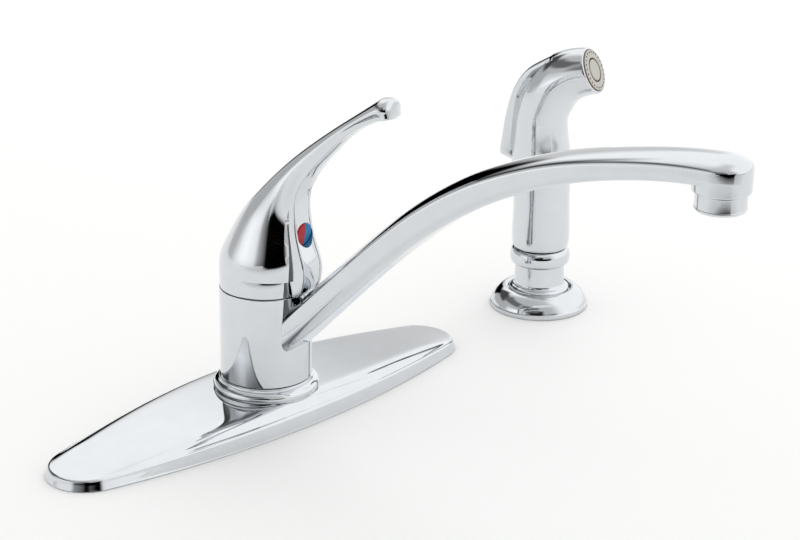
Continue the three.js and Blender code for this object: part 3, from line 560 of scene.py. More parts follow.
def plate_shape():
    """Closed shell: side, shoulder and dome outside, the wall of the hole, and the same inside."""
    back = bpy.context.scene.faucet_sizes.plate_back / MM
    edge = plate_outline(SIDE_LEAN + SHOULDER)
    count = len(edge)
    turns = [2 * math.pi * (i - PER_END / 2) / count for i in range(count)]
    hole = [(PLATE_BORE * math.cos(t), PLATE_BORE * math.sin(t) - back) for t in turns]

    def side(grow, height):
        return [Vector((x, y, height(x))) for x, y in plate_outline(grow)]

    def top(share, drop):
        out = []
        for (ex, ey), (hx, hy) in zip(edge, hole):
            x, y = ex + (hx - ex) * share, ey + (hy - ey) * share
            out.append(Vector((x, y, plate_top(x, y, edge) - drop)))
        return out

    bend_round = [math.radians(a) for a in (0, 18, 36, 54, 72, 90)]
    lean = SIDE_LEAN
    outer = [side(0, lambda x: 0), side(0.12, lambda x: 0.35), side(0.3 * lean, lambda x: 0.3 * rim_at(x)),
             side(0.75 * lean, lambda x: 0.75 * rim_at(x)), side(lean, rim_at)]
    outer += [side(lean + SHOULDER * (1 - math.cos(t)), lambda x, t=t: rim_at(x) + SHOULDER * math.sin(t))
              for t in bend_round[1:-1]]
    shares = [0, 0.02, 0.04, 0.06, 0.085, 0.11, 0.14, 0.18, 0.23, 0.29, 0.36, 0.45, 0.56, 0.68,
              0.8, 0.9, 1]
    outer += [top(share, 0) for share in shares]
    inner = [top(share, PLATE_WALL) for share in reversed(shares[2:])]
    inner += [side(PLATE_WALL + 0.6 * lean, lambda x: 0.6 * rim_at(x)), side(PLATE_WALL, lambda x: 0)]
    rings = [[p + Vector((0, back, 0)) for p in ring] for ring in outer + inner]
    verts = [p for ring in rings for p in ring]
    rows = [list(range(k * count, (k + 1) * count)) for k in range(len(rings))]
    return verts, bands(list(zip(rows, rows[1:] + rows[:1])), count)


def base_ring_shape():
    """Turned moulding under the hub, whose foot follows the domed plate."""
    sizes = bpy.context.scene.faucet_sizes
    hub, back = sizes.hub_radius / MM, sizes.plate_back / MM
    edge = plate_outline(SIDE_LEAN + SHOULDER)
    corners = [(BASE_BORE, CREST), None, (hub + 3.2, CREST), (hub + 3.6, CREST + 1.2),
               (hub + 3.45, CREST + 2.5), (hub + 2.75, CREST + 3.7), (hub + 1.7, CREST + 4.5),
               (hub + 0.85, CREST + 4.85), None, (hub + 0.8, CREST + 5.2), (hub + 0.7, CREST + 5.75),
               (hub + 0.3, CREST + 6.1), None, (19.0, CREST + 6.1), (19.0, CREST + 2.6), None,
               (BASE_BORE, CREST + 2.6)]
    verts, faces = lathe(moulded(corners), 192)
    feet = []
    for x, y, z in verts:
        if z < CREST + 0.01:
            z = plate_top(x, y - back, edge) + CLEAR / 2
        feet.append((x, y, z))
    return feet, faces


# ---- spout --------------------------------------------------------------------------------------
# side view of the arm: forward s and height z of its underside, slope in degrees, half width,
# height of the side wall, rise of the crowned top and radius of the lower corners
ARM = [
    [10, 27.3, 44, 11.6, 12.6, 4.0, 5.0], [22, 38.8, 44, 11.8, 12.6, 4.0, 5.5],
    [40, 57.0, 44.5, 11.8, 12.2, 3.9, 6.0], [57, 74.4, 45, 11.8, 11.9, 3.8, 6.5],
    [73, 90.2, 43, 11.8, 11.9, 3.6, 6.5], [87, 103.0, 41, 11.8, 12.1, 3.5, 6.5],
    [101, 114.6, 38.5, 11.8, 12.4, 3.6, 6.3], [115.4, 125.2, 34.5, 11.8, 12.2, 3.5, 6.0],
    [128, 133.3, 31, 11.8, 11.8, 3.4, 5.5], [142, 141.1, 27.5, 11.8, 11.2, 3.0, 5.0],
    [166, 152.0, 21, 12, 10.1, 3.0, 4.2], [191, 159.6, 14.5, 12.2, 8.9, 2.9, 3.6],
    [215, 164.6, 9, 12.5, 8.3, 3.4, 3.2], [232, 166.6, 5, 12.8, 8.2, 4.0, 3.2],
    [242.5, 167.2, 0.5, 12.9, 8.1, 4.2, 3.2],
]
ARM_WALL = 1.5
EDGE_ROUND = 2.6                  # rounding between the arm's side and its crowned top
NOSE_BOTTOM = 163.4
NOSE_RADIUS, NOSE_TOP = 12.75, 171
SOCKET = ((10.1, 168.4), (8.6, 172.5))    # radius and top of the aerator's thread, and of the way in
HUB_BOTTOM = 19.6
HUB_BORE = 18.95
WASHER_RADIUS, WASHER_HEIGHT = 21.2, 1.3  # groove of the swivel washer in the hub's foot


def arm_ring(s, z, slope, half, height, rise, corner, inner=0.0):
    """Section of the arm: flat underside, rounded lower corners, upright sides, crowned top."""
    w, low = half - inner, inner
    top = height - 0.5 * inner
    corner = max(corner - inner, 0.8)
    crown_edge = top - rise * 0.1
    lower = fillet(Vector((0, low)), Vector((w, low)), Vector((w, crown_edge)), corner, 8)
    points = [Vector((w * k / 4, low)) for k in range(1, 3)] + lower
    shoulder_top = Vector((w * 0.78, top + rise * (1 - 0.78 ** 2)))
    points += fillet(Vector((w, low + corner)), Vector((w, crown_edge)), shoulder_top, EDGE_ROUND, 8)
    points += [Vector((w * k, top + rise * (1 - k * k))) for k in (0.66, 0.5, 0.33, 0.16)]
    half_ring = [Vector((0, low))] + points + [Vector((0, top + rise))]
    ring = half_ring + [Vector((-p.x, p.y)) for p in reversed(half_ring[1:-1])]
    c, k = math.cos(math.radians(slope)), math.sin(math.radians(slope))
    return [at(s - p.y * k, z + p.y * c, p.x) for p in ring]


def arm_shape(inner=0.0):
    """Arm and its round nose, or the waterway inside them, smaller by inner all round."""
    rows = through(ARM, 8, 30)
    rings = [arm_ring(*row, inner) for row in rows]
    s, z, slope, half, height, rise, corner = ARM[-1]
    reach = half - inner
    # round end of the nose, seen from above as a half circle and rolled over at the top
    for k in range(1, 17):
        t = math.radians(86 * k / 16)
        fall = 1 - math.cos(t)
        width = max(half * math.cos(t), inner + 0.9)
        top = height - 1.6 * fall ** 1.5
        rings.append(arm_ring(s + reach * math.sin(t), z, slope, width, top, rise * (1 - fall) ** 0.8,
                              min(corner, width * 0.6), inner))
    return loft(rings)


def hub_shape(top):
    """Turned shell of the hub, with the groove of its swivel washer at the foot."""
    radius = bpy.context.scene.faucet_sizes.hub_radius / MM
    groove = HUB_BOTTOM + WASHER_HEIGHT
    corners = [(WASHER_RADIUS, HUB_BOTTOM, 0), (radius, HUB_BOTTOM, 0.35), (radius, top, 0.35),
               (HUB_BORE, top, 0.2), (HUB_BORE, groove, 0), (WASHER_RADIUS, groove, 0)]
    return lathe(rounded(corners, True, 4), 192)


def at_tip(shape):
    """Moves a turned shape from the hub's axis to the aerator's."""
    reach = bpy.context.scene.faucet_sizes.reach / MM
    return [at(reach, 0) + Vector(v) for v in shape[0]], shape[1]


def spout_object():
    """Hub, arm and nose in one casting, hollow from the hub to the aerator's socket."""
    place = mixer_place()
    arm = make("arm", arm_shape(), place)
    nose = rounded([(0, NOSE_BOTTOM), (NOSE_RADIUS, NOSE_BOTTOM, 0.7), (NOSE_RADIUS, NOSE_TOP),
                    (0, NOSE_TOP)], False)
    join(arm, make("nose", at_tip(lathe(nose, 96)), place), "UNION")
    cut(arm, arm_shape(ARM_WALL), place)
    (thread, thread_top), (way_in, way_top) = SOCKET
    socket = [(0, NOSE_BOTTOM - 1), (thread, NOSE_BOTTOM - 1), (thread, thread_top),
              (way_in, thread_top), (way_in, way_top), (0, way_top)]
    cut(arm, at_tip(lathe(socket, 96)), place)
    cut(arm, lathe([(0, 0), (HUB_BORE + 1, 0), (HUB_BORE + 1, 90), (0, 90)], 192), place)
    hub = make("spout_casting", hub_shape(bpy.context.scene.faucet_sizes.hub_top / MM), place)
    cut(hub, arm_shape(ARM_WALL), place)
    return join(hub, arm, "UNION")


# ---- aerator ------------------------------------------------------------------------------------
AERATOR_BOTTOM = 154.9


def aerator_shell_shape():
    """Turned shell: lip at the water's way out, bead above it, thread that goes into the nose."""
    radius = bpy.context.scene.faucet_sizes.aerator_radius / MM
    low, seat = AERATOR_BOTTOM, NOSE_BOTTOM - CLEAR
    corners = [(8.5, low + 0.3, 0.2), (9.2, low, 0.3), (radius - 0.9, low, 0.5), (radius, low + 0.9, 0.6),
               (radius, low + 1.5, 0.1), (radius - 0.18, low + 1.75, 0.1),
               (radius - 0.18, seat - 0.7, 0.1), (radius, seat - 0.5, 0.1), (radius, seat, 0.15),
               (9.8, seat, 0), (9.8, 167, 0.2),
               (8.9, 167, 0.1), (8.9, low + 1.1, 0.2), (8.5, low + 1.1, 0.1)]
    return lathe(rounded(corners, True, 4), 128)


# ---- trim cap and lever ---------------------------------------------------------------------------
def trim_cap_shape():
    """Turned cap: an upright band, then a ball-shaped shoulder up to the opening for the stem."""
    sizes = bpy.context.scene.faucet_sizes
    radius, low, pivot = sizes.hub_radius / MM - 0.2, sizes.hub_top / MM + 0.4, sizes.pivot / MM
    ball = sizes.cavity / MM - CLEAR
    wall, opening = 1.8, 12.4

    def shoulder(r, to, steps):
        start, end = (math.degrees(math.acos(v / r)) for v in (to, opening))
        return arc(0, pivot, r, start, end, steps)

    outside = shoulder(ball, radius, 16)
    inside = shoulder(ball - wall, radius - wall, 12)[::-1]
    band = rounded([(19.0, low, 0), (radius, low, 0.35), outside[0]], False, 4)
    foot = [(radius - wall, low + 7.5), (19.0, low + 7.5)]
    return lathe([tuple(p) for p in band[:-1]] + outside + inside + foot, 192)


# rear point and front point of the casting as (s, z) and its half width, from foot to tip
HORN = [
    [-22.6, 74.4, 25.0, 74.4, 22.6], [-22.4, 79, 25.0, 79, 22.4], [-21.5, 82.6, 24.8, 82.5, 21.8],
    [-19.3, 87.4, 24.2, 86.5, 20.6], [-13.9, 97.3, 22.6, 95, 18.0], [-8.3, 106, 21.5, 103, 15.8],
    [-2.8, 112.4, 21.4, 109, 13.6], [3.3, 118.8, 22.8, 115, 11.2], [9.5, 125.3, 25.8, 121, 9.0],
    [21.5, 136.2, 31.3, 129.8, 7.2], [33.3, 145.4, 39.8, 138.6, 6.4],
    [45, 154.2, 49.6, 149.2, 6.2], [56.5, 162.2, 59.6, 156.4, 6.8],
    [67.7, 170.3, 69.6, 161.6, 7.9], [69.8, 171.6, 71.6, 162.1, 7.9],
]
# front line of the strip that runs down the casting: s, z and half width
STRIP = [
    [24.6, 66.2, 7.2], [27.1, 69.5, 7.5], [28.6, 75, 7.6], [28.6, 82, 7.5], [26.1, 89.5, 7.2],
    [23.9, 97, 6.9], [23.0, 104.5, 6.5], [22.7, 111.5, 6.3], [24.2, 118, 6.2], [26.8, 125, 6.2],
]
STRIP_FINE = through(STRIP, 8, 12)
TIP_LENGTH = 5.4
TIP_SIDE, TIP_FACE = 0.6, 0.16    # how late the tip narrows and thins; the smaller, the squarer
LEVER_SHARP = 33                  # edges over this angle stay crisp
STRIP_CROWN = 0.5                 # how far the strip's face stands out at its middle
BEAD, BEAD_WIDTH = 0.55, 1.7      # how far its rolled edge stands out, and how wide that is
BUTTON_AT = (24.1, 96)
BUTTON_TILT = -8
BUTTON_DEPTH, BUTTON_GAP = 2.2, 0.28     # how deep its pocket is, and how much wider
BUTTON_RISE, BUTTON_DOME = 2.15, 0.28    # height of its rim over the pocket's floor, and of its dome
SCREW_RADIUS = 2.6


def strip_front(z):
    """Forward distance and half width of the strip's front at a height, beyond its ends held."""
    rows = STRIP_FINE
    if z <= rows[0][1]:
        return rows[0][0], rows[0][2]
    for (s0, z0, w0), (s1, z1, w1) in zip(rows, rows[1:]):
        if z0 <= z <= z1:
            k = (z - z0) / (z1 - z0)
            return s0 + (s1 - s0) * k, w0 + (w1 - w0) * k
    return 0, rows[-1][2]


def strip_profile(front, flat, edge, bead):
    """Half of the strip's front, nearly flat, with a bead rolled between flat and edge."""
    points = [(front + STRIP_CROWN * (1 - (k / 9) ** 2), flat * k / 9) for k in range(10)]
    for degrees in (25, 55, 90, 125, 155, 180):
        turn = math.radians(degrees)
        points.append((front + bead * math.sin(turn) * 0.9 - 0.25 * (degrees / 180) ** 2,
                       flat + (edge - flat) / 2 * (1 - math.cos(turn))))
    return points


def lever_ring(rear_s, rear_z, front_s, front_z, half):
    """Section of the casting: round back, then the raised strip with a rolled edge, or the flat face
    with a crisp edge that the strip becomes on the way to the tip."""
    rear, front = Vector((rear_s, rear_z)), Vector((front_s, front_z))
    axis = (front - rear).normalized()
    long = (front - rear).length / 2
    middle = (front + rear) / 2
    face = long
    strip_s, strip_half = strip_front(front_z)
    if strip_s > front_s:
        face = long + (strip_s - front_s) / max(axis.x, 0.3)
    raised = min(max((face - long) / 2.0, 0), 1)
    edge = min(strip_half, half * 0.9)
    bead = BEAD * raised
    corner = face - 0.35
    points = strip_profile(face, max(edge - BEAD_WIDTH, 0.6 * edge), edge, bead)
    meet = min(edge + 0.35, half * 0.985)
    start = math.asin(min(meet / half, 1))
    body_u, body_x = long * math.cos(start), half * math.sin(start)
    foot = Vector((min(body_u, corner - 0.4), body_x))
    wall = fillet(Vector((corner, edge + 0.05)), foot, foot + Vector((-2.5, 1.2 * (1 - raised))), 1.2, 6)
    points += [(corner - 0.55, edge + 0.08)] + [(p.x, p.y) for p in wall[:3]]
    for k in range(1, 41):
        t = start + (math.pi - start) * k / 40
        points.append((long * math.cos(t), half * math.sin(t)))
    ring = points + [(u, -x) for u, x in reversed(points[1:-1])]
    out = []
    for u, x in ring:
        point = middle + axis * u
        out.append(at(point.x, point.y, x))
    return out


def lever_rows():
    """Sections of the casting from its foot to the tip, which is squared and rolled over."""
    rows = through(HORN, 9, 40)
    rear_s, rear_z, front_s, front_z, half = rows[-1]
    along = Vector((front_z - rear_z, rear_s - front_s)).normalized()
    along = -along if along.x < 0 else along
    middle = Vector((rear_s + front_s, rear_z + front_z)) / 2
    reach = Vector((front_s - rear_s, front_z - rear_z)) / 2
    for k in range(1, 15):
        t = math.radians(89 * k / 14)
        centre = middle + along * TIP_LENGTH * math.sin(t)
        thick = reach * math.cos(t) ** TIP_FACE
        rear, front = centre - thick, centre + thick
        rows.append([rear.x, rear.y, front.x, front.y, half * math.cos(t) ** TIP_SIDE])
    return rows


TAIL_BACK = 12.0                      # forward distance of the tail's back, inside the dome
TAIL_LOW, TAIL_STEP, TAIL_RINGS = 66.2, 0.85, 17


def tail_ring(z):
    """Section of the strip below the dome, level at height z."""
    front, half = strip_front(z)
    points = strip_profile(front, half - BEAD_WIDTH, half, BEAD)
    points += [(front - 0.9, half + 0.1), (front - 3, half + 0.2), (TAIL_BACK, half + 0.2),
               (TAIL_BACK, 0)]
    ring = points + [(s, -x) for s, x in reversed(points[1:-1])]
    return [at(s, z, x) for s, x in ring]


def button_point(depth):
    """Point on the button's axis, at a distance out from the strip's face."""
    s, z = BUTTON_AT
    tilt = math.radians(BUTTON_TILT)
    return at(s + depth * math.cos(tilt), z + depth * math.sin(tilt))


def lever_object():
    """Casting with the strip's tail, hollow over the cap, with the pockets for button and screw."""
    sizes = bpy.context.scene.faucet_sizes
    place = mixer_place()
    lever = make("lever_casting", loft([lever_ring(*row) for row in lever_rows()]), place, LEVER_SHARP)
    tail = loft([tail_ring(TAIL_LOW + TAIL_STEP * k) for k in range(TAIL_RINGS)])
    join(lever, make("tail", tail, place, LEVER_SHARP), "UNION", LEVER_SHARP)
    hollow = arc(0, sizes.pivot / MM, sizes.cavity / MM, -90, 90, 64)
    cut(lever, lathe(hollow, 192), place, LEVER_SHARP)
    pocket = rod(button_point(5), button_point(-BUTTON_DEPTH), sizes.button_radius / MM + BUTTON_GAP, 64)
    cut(lever, pocket, place, LEVER_SHARP)
    screw_way = rod(button_point(1), button_point(-24), SCREW_RADIUS, 32)
    return cut(lever, screw_way, place, LEVER_SHARP)


def button_shape():
    """Button with a slightly domed face and a rounded rim."""
    radius = bpy.context.scene.faucet_sizes.button_radius / MM
    dome = [(radius * k / 8, BUTTON_RISE + BUTTON_DOME * (1 - (k / 8) ** 2)) for k in range(8)]
    rim = fillet(Vector((radius, 0.2)), Vector((radius, BUTTON_RISE)), Vector((radius * 0.9, 2.2)), 0.3, 4)
    verts, faces = lathe([(0, 0.2), (radius, 0.2)] + [tuple(p) for p in rim] + dome[::-1], 64)
    low = button_point(-BUTTON_DEPTH)
    turn = Matrix.Translation(low) @ (button_point(0) - low).to_track_quat("Z", "Y").to_matrix().to_4x4()
    return [turn @ Vector(v) for v in verts], faces


# ---- hand spray -----------------------------------------------------------------------------------
# centre line of the body: forward s, height z, slope of the section in degrees, radius and how far
# its back stands out past that radius beside the trigger
SPRAY = [
    [0, 34.2, 0, 14.6, 0], [0, 34.9, 0, 15.1, 0], [0, 36, 0, 15.45, 0], [0, 41, 0, 15.75, 0],
    [0, 50, 0, 15.5, 0], [0, 62, 0, 15.0, 0.4], [0, 72, 0, 15.1, 1.5], [0, 81, 0, 15.1, 3.0],
    [-0.2, 90, 0, 14.6, 2.7], [-0.6, 97, 2, 13.9, 2.3], [-1.0, 104, 3, 13.6, 1.6],
    [-0.6, 110, 10, 13.4, 1.0], [2.4, 118.6, 26, 14.0, 0.4], [7.0, 126.6, 44, 14.2, 0],
    [13.2, 131.8, 59, 13.9, 0], [20, 134.6, 66, 13.2, 0], [26.5, 136.0, 67.4, 12.6, 0],
]
SPRAY_FACE = (27.0, 136.3)
FACE_TILT = 22.6
HOLES, HOLE_RING, HOLE_RADIUS, HOLE_DEPTH = 24, 9.75, 0.6, 3
RECESS = (-6.6, 7.65, 76.0, 126.0)    # s of its floor, half width, lowest and highest z
PIN_Z, PIN_BORE = 130.0, 1.55
POCKET_RADIUS = 14.6                  # round room for the trigger's top,
POCKET_FRONT, POCKET_LOW = 5.2, 122.4     # and how far forward and how low it reaches
SPRAY_BORES = ((7.2, 30, 49.8), (8.4, 36.3, 38.0))    # radius, lowest and highest z: hose end, clip
VALVE_Z, VALVE_BORE = 104, 5.2        # height of the valve's axis, and the bore for its guide


def spray_ring(s, z, slope, radius, back):
    """Section of the body: a circle whose back is drawn out beside the trigger."""
    tilt = math.radians(slope)
    out = []
    for k in range(96):
        t = 2 * math.pi * k / 96
        u = radius * math.cos(t) - back * max(0, -math.cos(t)) ** 1.5
        out.append(at(s + u * math.cos(tilt), z - u * math.sin(tilt), radius * math.sin(t)))
    return out


def face_point(depth):
    """Point on the axis of the spray's face, at a distance out from its edge."""
    s, z = SPRAY_FACE
    tilt = math.radians(FACE_TILT)
    return at(s + depth * math.cos(tilt), z + depth * math.sin(tilt))


def face_matrix(depth):
    """Stands a turned piece on the spray's face, its axis along the water."""
    aim = face_point(depth + 1) - face_point(depth)
    return Matrix.Translation(face_point(depth)) @ aim.to_track_quat("Z", "Y").to_matrix().to_4x4()


def box_shape(x0, x1, s0, s1, z0, z1):
    verts = [at(s, z, x) for x in (x0, x1) for s in (s0, s1) for z in (z0, z1)]
    return verts, [(0, 1, 3, 2), (4, 6, 7, 5), (0, 4, 5, 1), (2, 3, 7, 6), (0, 2, 6, 4), (1, 5, 7, 3)]


def spray_body_object():
    """Body with the room for trigger, face, hose end, clip, valve guide and pin cut out of it."""
    place = spray_place()
    rows = SPRAY[:3] + through(SPRAY[3:], 8, 24)
    rings = [spray_ring(*row) for row in rows]
    # the head's rim turns in round the face
    tilt = math.radians(90 - FACE_TILT)
    for inward, ahead in ((0.25, 0.35), (0.7, 0.55)):
        s, z = rows[-1][0] + ahead * math.sin(tilt), rows[-1][1] + ahead * math.cos(tilt)
        rings.append(spray_ring(s, z, 90 - FACE_TILT, rows[-1][3] - inward, 0))
    body = make("spray_shell", loft(rings), place)
    floor_s, half, low, high = RECESS
    cut(body, box_shape(-half, half, -40, floor_s, low, high), place)
    pocket = rod(at(0, PIN_Z, -half), at(0, PIN_Z, half), POCKET_RADIUS, 64)
    lid = make("lid", box_shape(-half, half, -40, POCKET_FRONT, POCKET_LOW, 160), place)
    join(body, join(make("pocket", pocket, place), lid, "INTERSECT"), "DIFFERENCE")
    face_radius = bpy.context.scene.faucet_sizes.face_radius / MM
    cut(body, rod(face_point(-5.2), face_point(3), face_radius + CLEAR / 2, 96), place)
    for radius, bottom, top in SPRAY_BORES:
        cut(body, lathe([(0, bottom), (radius, bottom), (radius, top), (0, top)], 64), place)
    cut(body, rod(at(floor_s - 2, VALVE_Z), at(8, VALVE_Z), VALVE_BORE, 32), place)
    return cut(body, rod(at(0, PIN_Z, -10.5), at(0, PIN_Z, 10.5), PIN_BORE, 24), place)


# side view of the trigger: outer point and inner point as (s, z), half width
TRIGGER = [
    [-22.6, 84.9, -14.4, 82.3, 6.2], [-23.1, 86.4, -13.2, 83.6, 7.1], [-22.2, 93, -11.9, 90, 7.3],
    [-21.0, 102, -11.3, 101, 7.3], [-19.4, 111, -10.9, 110, 7.3], [-17.2, 119.2, -10.0, 118, 7.3],
    [-13.8, 126.8, -7.4, 123.6, 7.3], [-9.2, 133.2, -2.8, 125.3, 7.3], [-4.6, 136.9, 1.6, 126.4, 7.3],
    [-0.6, 139.4, 3.6, 128.4, 7.3], [2.2, 141.2, 4.4, 131, 7.3], [4.4, 142.4, 4.8, 134, 7.2],
]


TRIGGER_SHARP = 38
TRIGGER_SQUARE = 0.26                 # the smaller, the squarer its section


def trigger_ring(outer_s, outer_z, inner_s, inner_z, half):
    """Section of the blade: a rectangle with round corners."""
    outer, inner = Vector((outer_s, outer_z)), Vector((inner_s, inner_z))
    middle, reach = (outer + inner) / 2, (outer - inner) / 2
    out = []
    for k in range(56):
        t = 2 * math.pi * k / 56
        u = math.copysign(abs(math.cos(t)) ** TRIGGER_SQUARE, math.cos(t))
        x = math.copysign(abs(math.sin(t)) ** TRIGGER_SQUARE, math.sin(t))
        flat = middle + reach * u
        out.append(at(flat.x, flat.y, half * x))
    return out


def trigger_object():
    """Trigger's blade with a rounded square section, hollow towards the body, bored for its pin."""
    place = spray_place()
    outside = loft([trigger_ring(*row) for row in through(TRIGGER, 6, 6)])
    blade = make("trigger_blade", outside, place, TRIGGER_SHARP)
    inside = [[s0 * 0.93, z0 + 0.6, s1 + 3, z1, 5.3] for s0, z0, s1, z1, _ in TRIGGER[1:6]]
    cut(blade, loft([trigger_ring(*row) for row in through(inside, 4, 2)]), place, TRIGGER_SHARP)
    pin = rod(at(0, PIN_Z, -9), at(0, PIN_Z, 9), PIN_BORE, 24)
    return cut(blade, pin, place, TRIGGER_SHARP)


def flange_shape():
    """Turned flange, high and round towards the guide, with a thin rim that stands on the deck."""
    sizes = bpy.context.scene.faucet_sizes
    r, g = sizes.flange_radius / MM, sizes.guide_radius / MM
    corners = [(g + CLEAR, 0), (g + 2.2, 0), None, (g + 2.2, 7), (g + 3.2, 7), None,
               (21.6, 5.0), (23.6, 2.6), None, (23.6, 0), (r, 0), None, (r, 2.0), None,
               (r - 0.35, 2.35), (r - 1.2, 4.7), (r - 2.8, 7.2), (r - 5.0, 9.3), (r - 7.0, 10.45),
               (r - 8.4, 10.6), (r - 9.5, 10.0), (r - 10.05, 8.7), None,
               (g + CLEAR, 8.7)]
    return lathe(moulded(corners), 192)


def guide_shape():
    """Turned neck of the holder, with a collar over the flange and a bulged ring at the top."""
    g = bpy.context.scene.faucet_sizes.guide_radius / MM
    corners = [(9.2, 0), (g, 0), None, (g, 9.0), (16.2, 9.0), None, (16.3, 9.6), (16.15, 10.6),
               (15.3, 11.5), (14.2, 12.1), (g + 0.1, 13.2), None, (g, 14), (g, 24.1), None,
               (14.5, 24.4), (15.6, 25.3),
               (16.2, 27.0), (16.3, 29.2), (15.95, 31.3), (15.2, 32.9), (14.3, 33.6), (13.4, 33.5),
               (12.7, 32.4), None, (12.2, 28), (9.2, 25)]
    return lathe(moulded(corners), 192)


def face_disc_shape():
    """Perforated disc of the spray face before its holes: a flat annulus with a soft rim."""
    r = bpy.context.scene.faucet_sizes.face_radius / MM
    corners = [(6.35, -4.6, 0.1), (r, -4.6, 0.1), (r, 0.35, 0.35), (r - 0.7, 0.75, 0.3), (6.9, 0.75, 0.25),
               (6.35, 0.3, 0.2)]
    return lathe(rounded(corners, True, 4), 144)


def insert_shape():
    """Centre disc of the spray face, with the gap left round it, which its material paints brown with scale
    and painted shade.
    """
    corners = [(0, -4.2), (5.9, -4.2, 0.1), (5.9, 0.55, 0.45), (4.9, 0.85, 0.5), (0, 0.9)]
    return lathe(rounded(corners, False, 4), 96)


# ---- repeated details, made by geometry nodes -------------------------------------------------------
def node_group(name, sizes, with_mesh=False):
    """Empty geometry tree with named number inputs; returns it with the outputs of its input node."""
    tree = bpy.data.node_groups.new(name, "GeometryNodeTree")
    if with_mesh:
        tree.interface.new_socket("Mesh", in_out="INPUT", socket_type="NodeSocketGeometry")
    for label, (kind, value) in sizes.items():
        tree.interface.new_socket(label, in_out="INPUT", socket_type=kind).default_value = value
    tree.interface.new_socket("Finish", in_out="INPUT", socket_type="NodeSocketMaterial")
    tree.interface.new_socket("Geometry", in_out="OUTPUT", socket_type="NodeSocketGeometry")
    source = add_node(tree, "NodeGroupInput").outputs
    return tree, source


def close_group(tree, source, geometry):
    whole = add_node(tree, "GeometryNodeRealizeInstances", {"Geometry": geometry})
    painted = add_node(tree, "GeometryNodeSetMaterial", {"Geometry": whole.outputs[0],
                       "Material": source["Finish"]})
    add_node(tree, "NodeGroupOutput", {"Geometry": painted.outputs[0]})


def grown(obj, tree, values, material, sharp=SHARP):
    """Runs a geometry tree on an object with values by input name, and keeps the plain mesh."""
    change = obj.modifiers.new(tree.name, "NODES")
    change.node_group = tree
    sockets = {item.name: item.identifier for item in tree.interface.items_tree if item.in_out == "INPUT"}
    for label, value in values.items():
        change[sockets[label]] = value
    change[sockets["Finish"]] = material
    apply_modifiers(obj, sharp)
    return obj


FLOAT, COUNT = "NodeSocketFloat", "NodeSocketInt"


def spray_holes_tree():
    """Cuts a ring of small round holes, evenly spaced, straight down through a disc."""
    tree, source = node_group("spray holes", {"Holes": (COUNT, 24), "Ring radius": (FLOAT, 0.01),
                              "Hole radius": (FLOAT, 0.0004), "Depth": (FLOAT, 0.002)}, True)
    ring = add_node(tree, "GeometryNodeMeshCircle", {"Vertices": source["Holes"],
                    "Radius": source["Ring radius"]})
    drill = add_node(tree, "GeometryNodeMeshCylinder", {"Vertices": 12, "Radius": source["Hole radius"],
                     "Depth": source["Depth"]})
    drills = add_node(tree, "GeometryNodeInstanceOnPoints", {"Points": ring.outputs["Mesh"],
                      "Instance": drill.outputs["Mesh"]})
    solid = add_node(tree, "GeometryNodeRealizeInstances", {"Geometry": drills.outputs[0]})
    pierced = add_node(tree, "GeometryNodeMeshBoolean", {"Mesh 1": source["Mesh"],
                       "Mesh 2": solid.outputs[0]}, operation="DIFFERENCE", solver="EXACT")
    close_group(tree, source, pierced.outputs["Mesh"])
    return tree


def wire_screen_tree():
    """Round screen of two layers of crossing wires, each wire as long as the circle lets it be."""
    tree, source = node_group("wire screen", {"Radius": (FLOAT, 0.0084), "Wires": (COUNT, 25),
                              "Wire radius": (FLOAT, 0.00013)})
    gap = add_node(tree, "ShaderNodeMath", {0: source["Radius"], 1: 1.94}, operation="MULTIPLY").outputs[0]
    start = add_node(tree, "ShaderNodeMath", {0: gap, 1: -0.5}, operation="MULTIPLY").outputs[0]
    layers = add_node(tree, "GeometryNodeJoinGeometry")
    for axis, turn in (("X", 0.0), ("Y", math.pi / 2)):
        first = add_node(tree, "ShaderNodeCombineXYZ", {axis: start}).outputs[0]
        last = add_node(tree, "ShaderNodeVectorMath", {0: first, "Scale": -1.0},
                        operation="SCALE").outputs[0]
        line = add_node(tree, "GeometryNodeMeshLine", {"Count": source["Wires"], "Start Location": first,
                        "Offset": last}, mode="END_POINTS")
        place = add_node(tree, "GeometryNodeInputPosition").outputs[0]
        away = add_node(tree, "ShaderNodeVectorMath", {0: place}, operation="LENGTH").outputs["Value"]
        squares = [add_node(tree, "ShaderNodeMath", {0: v, 1: 2.0}, operation="POWER").outputs[0]
                   for v in (source["Radius"], away)]
        rest = add_node(tree, "ShaderNodeMath", {0: squares[0], 1: squares[1]},
                        operation="SUBTRACT").outputs[0]
        chord = add_node(tree, "ShaderNodeMath", {0: rest, 1: 0.5}, operation="POWER").outputs[0]
        wire = add_node(tree, "GeometryNodeMeshCylinder", {"Vertices": 8, "Radius": source["Wire radius"],
                        "Depth": 2.0})
        size = add_node(tree, "ShaderNodeCombineXYZ", {"X": 1.0, "Y": 1.0, "Z": chord}).outputs[0]
        lay = (math.pi / 2, 0.0, turn)
        wires = add_node(tree, "GeometryNodeInstanceOnPoints", {"Points": line.outputs["Mesh"],
                         "Instance": wire.outputs["Mesh"], "Rotation": lay, "Scale": size})
        lift = source["Wire radius"] if axis == "Y" else 0.0
        up = add_node(tree, "ShaderNodeCombineXYZ", {"Z": lift}).outputs[0]
        raised = add_node(tree, "GeometryNodeTransform", {"Geometry": wires.outputs[0], "Translation": up})
        tree.links.new(raised.outputs[0], layers.inputs[0])
    close_group(tree, source, layers.outputs[0])
    return tree


